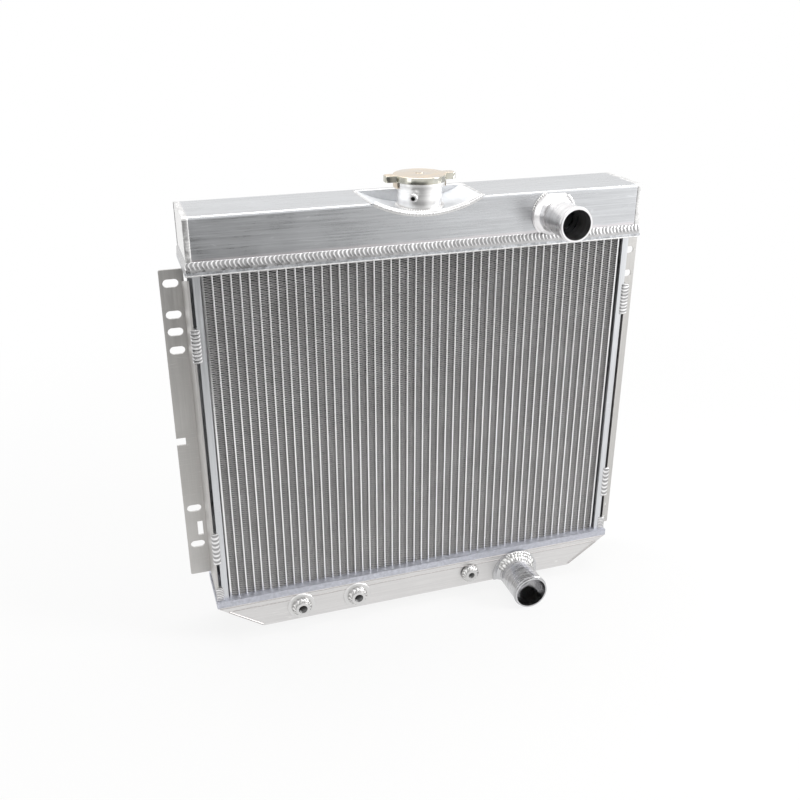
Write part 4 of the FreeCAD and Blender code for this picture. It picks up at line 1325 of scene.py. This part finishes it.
def build_card(name, corners, stops):
    """A grey card on the floor that only shows in reflections, shaded by the heading from the origin.

    stops are (heading in degrees from -Y towards +X, grey)."""
    card, graph, surface = stage_sheet(name, corners, name)
    card.visible_camera = False
    card.visible_diffuse = False
    card.visible_shadow = False
    card.visible_transmission = False
    away = graph.math("MULTIPLY", place_axis(graph, "Y"), -1.0)
    heading = graph.math("DEGREES", graph.math("ARCTAN2", place_axis(graph, "X"), away))
    share = graph.math("DIVIDE", graph.math("ADD", heading, 90.0), 180.0)
    shades = graph.add("ShaderNodeValToRGB")
    shades.color_ramp.interpolation = "EASE"
    points = shades.color_ramp.elements
    while len(points) < len(stops):
        points.new(0.5)
    for point, (angle, grey) in zip(points, stops):
        point.position = (angle + 90) / 180
        point.color = (grey, grey, grey, 1.0)
    graph.join(share, shades.inputs[0])
    glow = graph.set(graph.add("ShaderNodeEmission"), Color=shades.outputs["Color"])
    graph.join(glow.outputs[0], surface)


def build_world():
    """An even soft sky that is plain white where it is seen."""
    world = bpy.data.worlds.new("Soft room")
    bpy.context.scene.world = world
    world.use_nodes = True
    graph = Graph(world.node_tree)
    world.node_tree.nodes.clear()
    strength = graph.ramp(seen_directly(graph), 0.0, 1.0, 0.45, 1.0)
    sky = graph.set(graph.add("ShaderNodeBackground"), Color=(1.0, 1.0, 1.0, 1.0), Strength=strength)
    output = graph.add("ShaderNodeOutputWorld")
    graph.join(sky.outputs[0], output.inputs["Surface"])


class RADIATOR_OT_stage(bpy.types.Operator):
    """Makes the floor, the soft light and the camera"""
    bl_idname = "radiator.stage"
    bl_label = "Stage"

    def execute(self, context):
        build_floor()
        build_world()
        side, far, near = 3.4, -4.4, -0.7
        corners = [(-side, far, 0.0), (side, far, 0.0), (side, near, 0.0), (-side, near, 0.0)]
        build_card("front card", corners,
                   ((-78, 0.95), (-52, 0.12), (0, 0.17), (12, 0.46), (22, 0.98), (31, 1.2)))
        area_light("top soft box", (0.1, 0.2, 1.9), (0.0, 0.0, 0.4), (2.0, 1.2), 26.0)
        area_light("right soft box", (1.9, -1.1, 1.1), (0.0, 0.0, 0.3), (0.7, 1.1), 34.0)
        area_light("left soft box", (-1.9, -0.9, 0.9), (0.0, 0.0, 0.3), (0.8, 1.4), 4.0)
        data = bpy.data.cameras.new("camera")
        data.lens = 41.8
        data.sensor_width = 36.0
        camera = bpy.data.objects.new("camera", data)
        context.scene.collection.objects.link(camera)
        target = Vector((-0.0338, -0.04065, 0.2891))
        azimuth, elevation, distance = math.radians(-18.32), math.radians(24.42), 1.1032
        back = Vector((math.sin(azimuth) * math.cos(elevation), -math.cos(azimuth) * math.cos(elevation),
                       math.sin(elevation)))
        camera.location = target + back * distance
        camera.rotation_mode = "QUATERNION"
        camera.rotation_quaternion = (-back).to_track_quat("-Z", "Y")
        context.scene.camera = camera
        context.scene.view_settings.view_transform = "Standard"
        return {"FINISHED"}


# ---------------------------------------------------------------- add-on

SETTINGS = {"radiator_core": RadiatorCoreSettings, "radiator_weld": RadiatorWeldSettings,
            "radiator_cap": RadiatorCapSettings, "radiator_finish": RadiatorFinishSettings}
OPERATORS = (RADIATOR_OT_finishes, RADIATOR_OT_core, RADIATOR_OT_fins, RADIATOR_OT_tanks, RADIATOR_OT_necks,
             RADIATOR_OT_brackets, RADIATOR_OT_header_weld, RADIATOR_OT_seam_welds,
             RADIATOR_OT_bracket_welds, RADIATOR_OT_cap, RADIATOR_OT_stage)


class RADIATOR_PT_panel(bpy.types.Panel):
    """Lists the radiator's pieces in the sidebar"""
    bl_idname = "RADIATOR_PT_panel"
    bl_label = "Radiator"
    bl_space_type = "VIEW_3D"
    bl_region_type = "UI"
    bl_category = "Radiator"

    def draw(self, context):
        for operator in OPERATORS:
            self.layout.operator(operator.bl_idname)
        for group in SETTINGS:
            box = self.layout.box()
            settings = getattr(context.scene, group)
            for name in settings.__annotations__:
                box.prop(settings, name)


CLASSES = tuple(SETTINGS.values()) + OPERATORS + (RADIATOR_PT_panel,)


def register():
    for item in CLASSES:
        bpy.utils.register_class(item)
    for name, group in SETTINGS.items():
        setattr(bpy.types.Scene, name, bpy.props.PointerProperty(type=group))


def unregister():
    for name in SETTINGS:
        delattr(bpy.types.Scene, name)
    for item in reversed(CLASSES):
        bpy.utils.unregister_class(item)


def main():
    register()
    for operator in OPERATORS:
        group, name = operator.bl_idname.split(".")
        getattr(getattr(bpy.ops, group), name)()


if __name__ == "__main__":
    main()
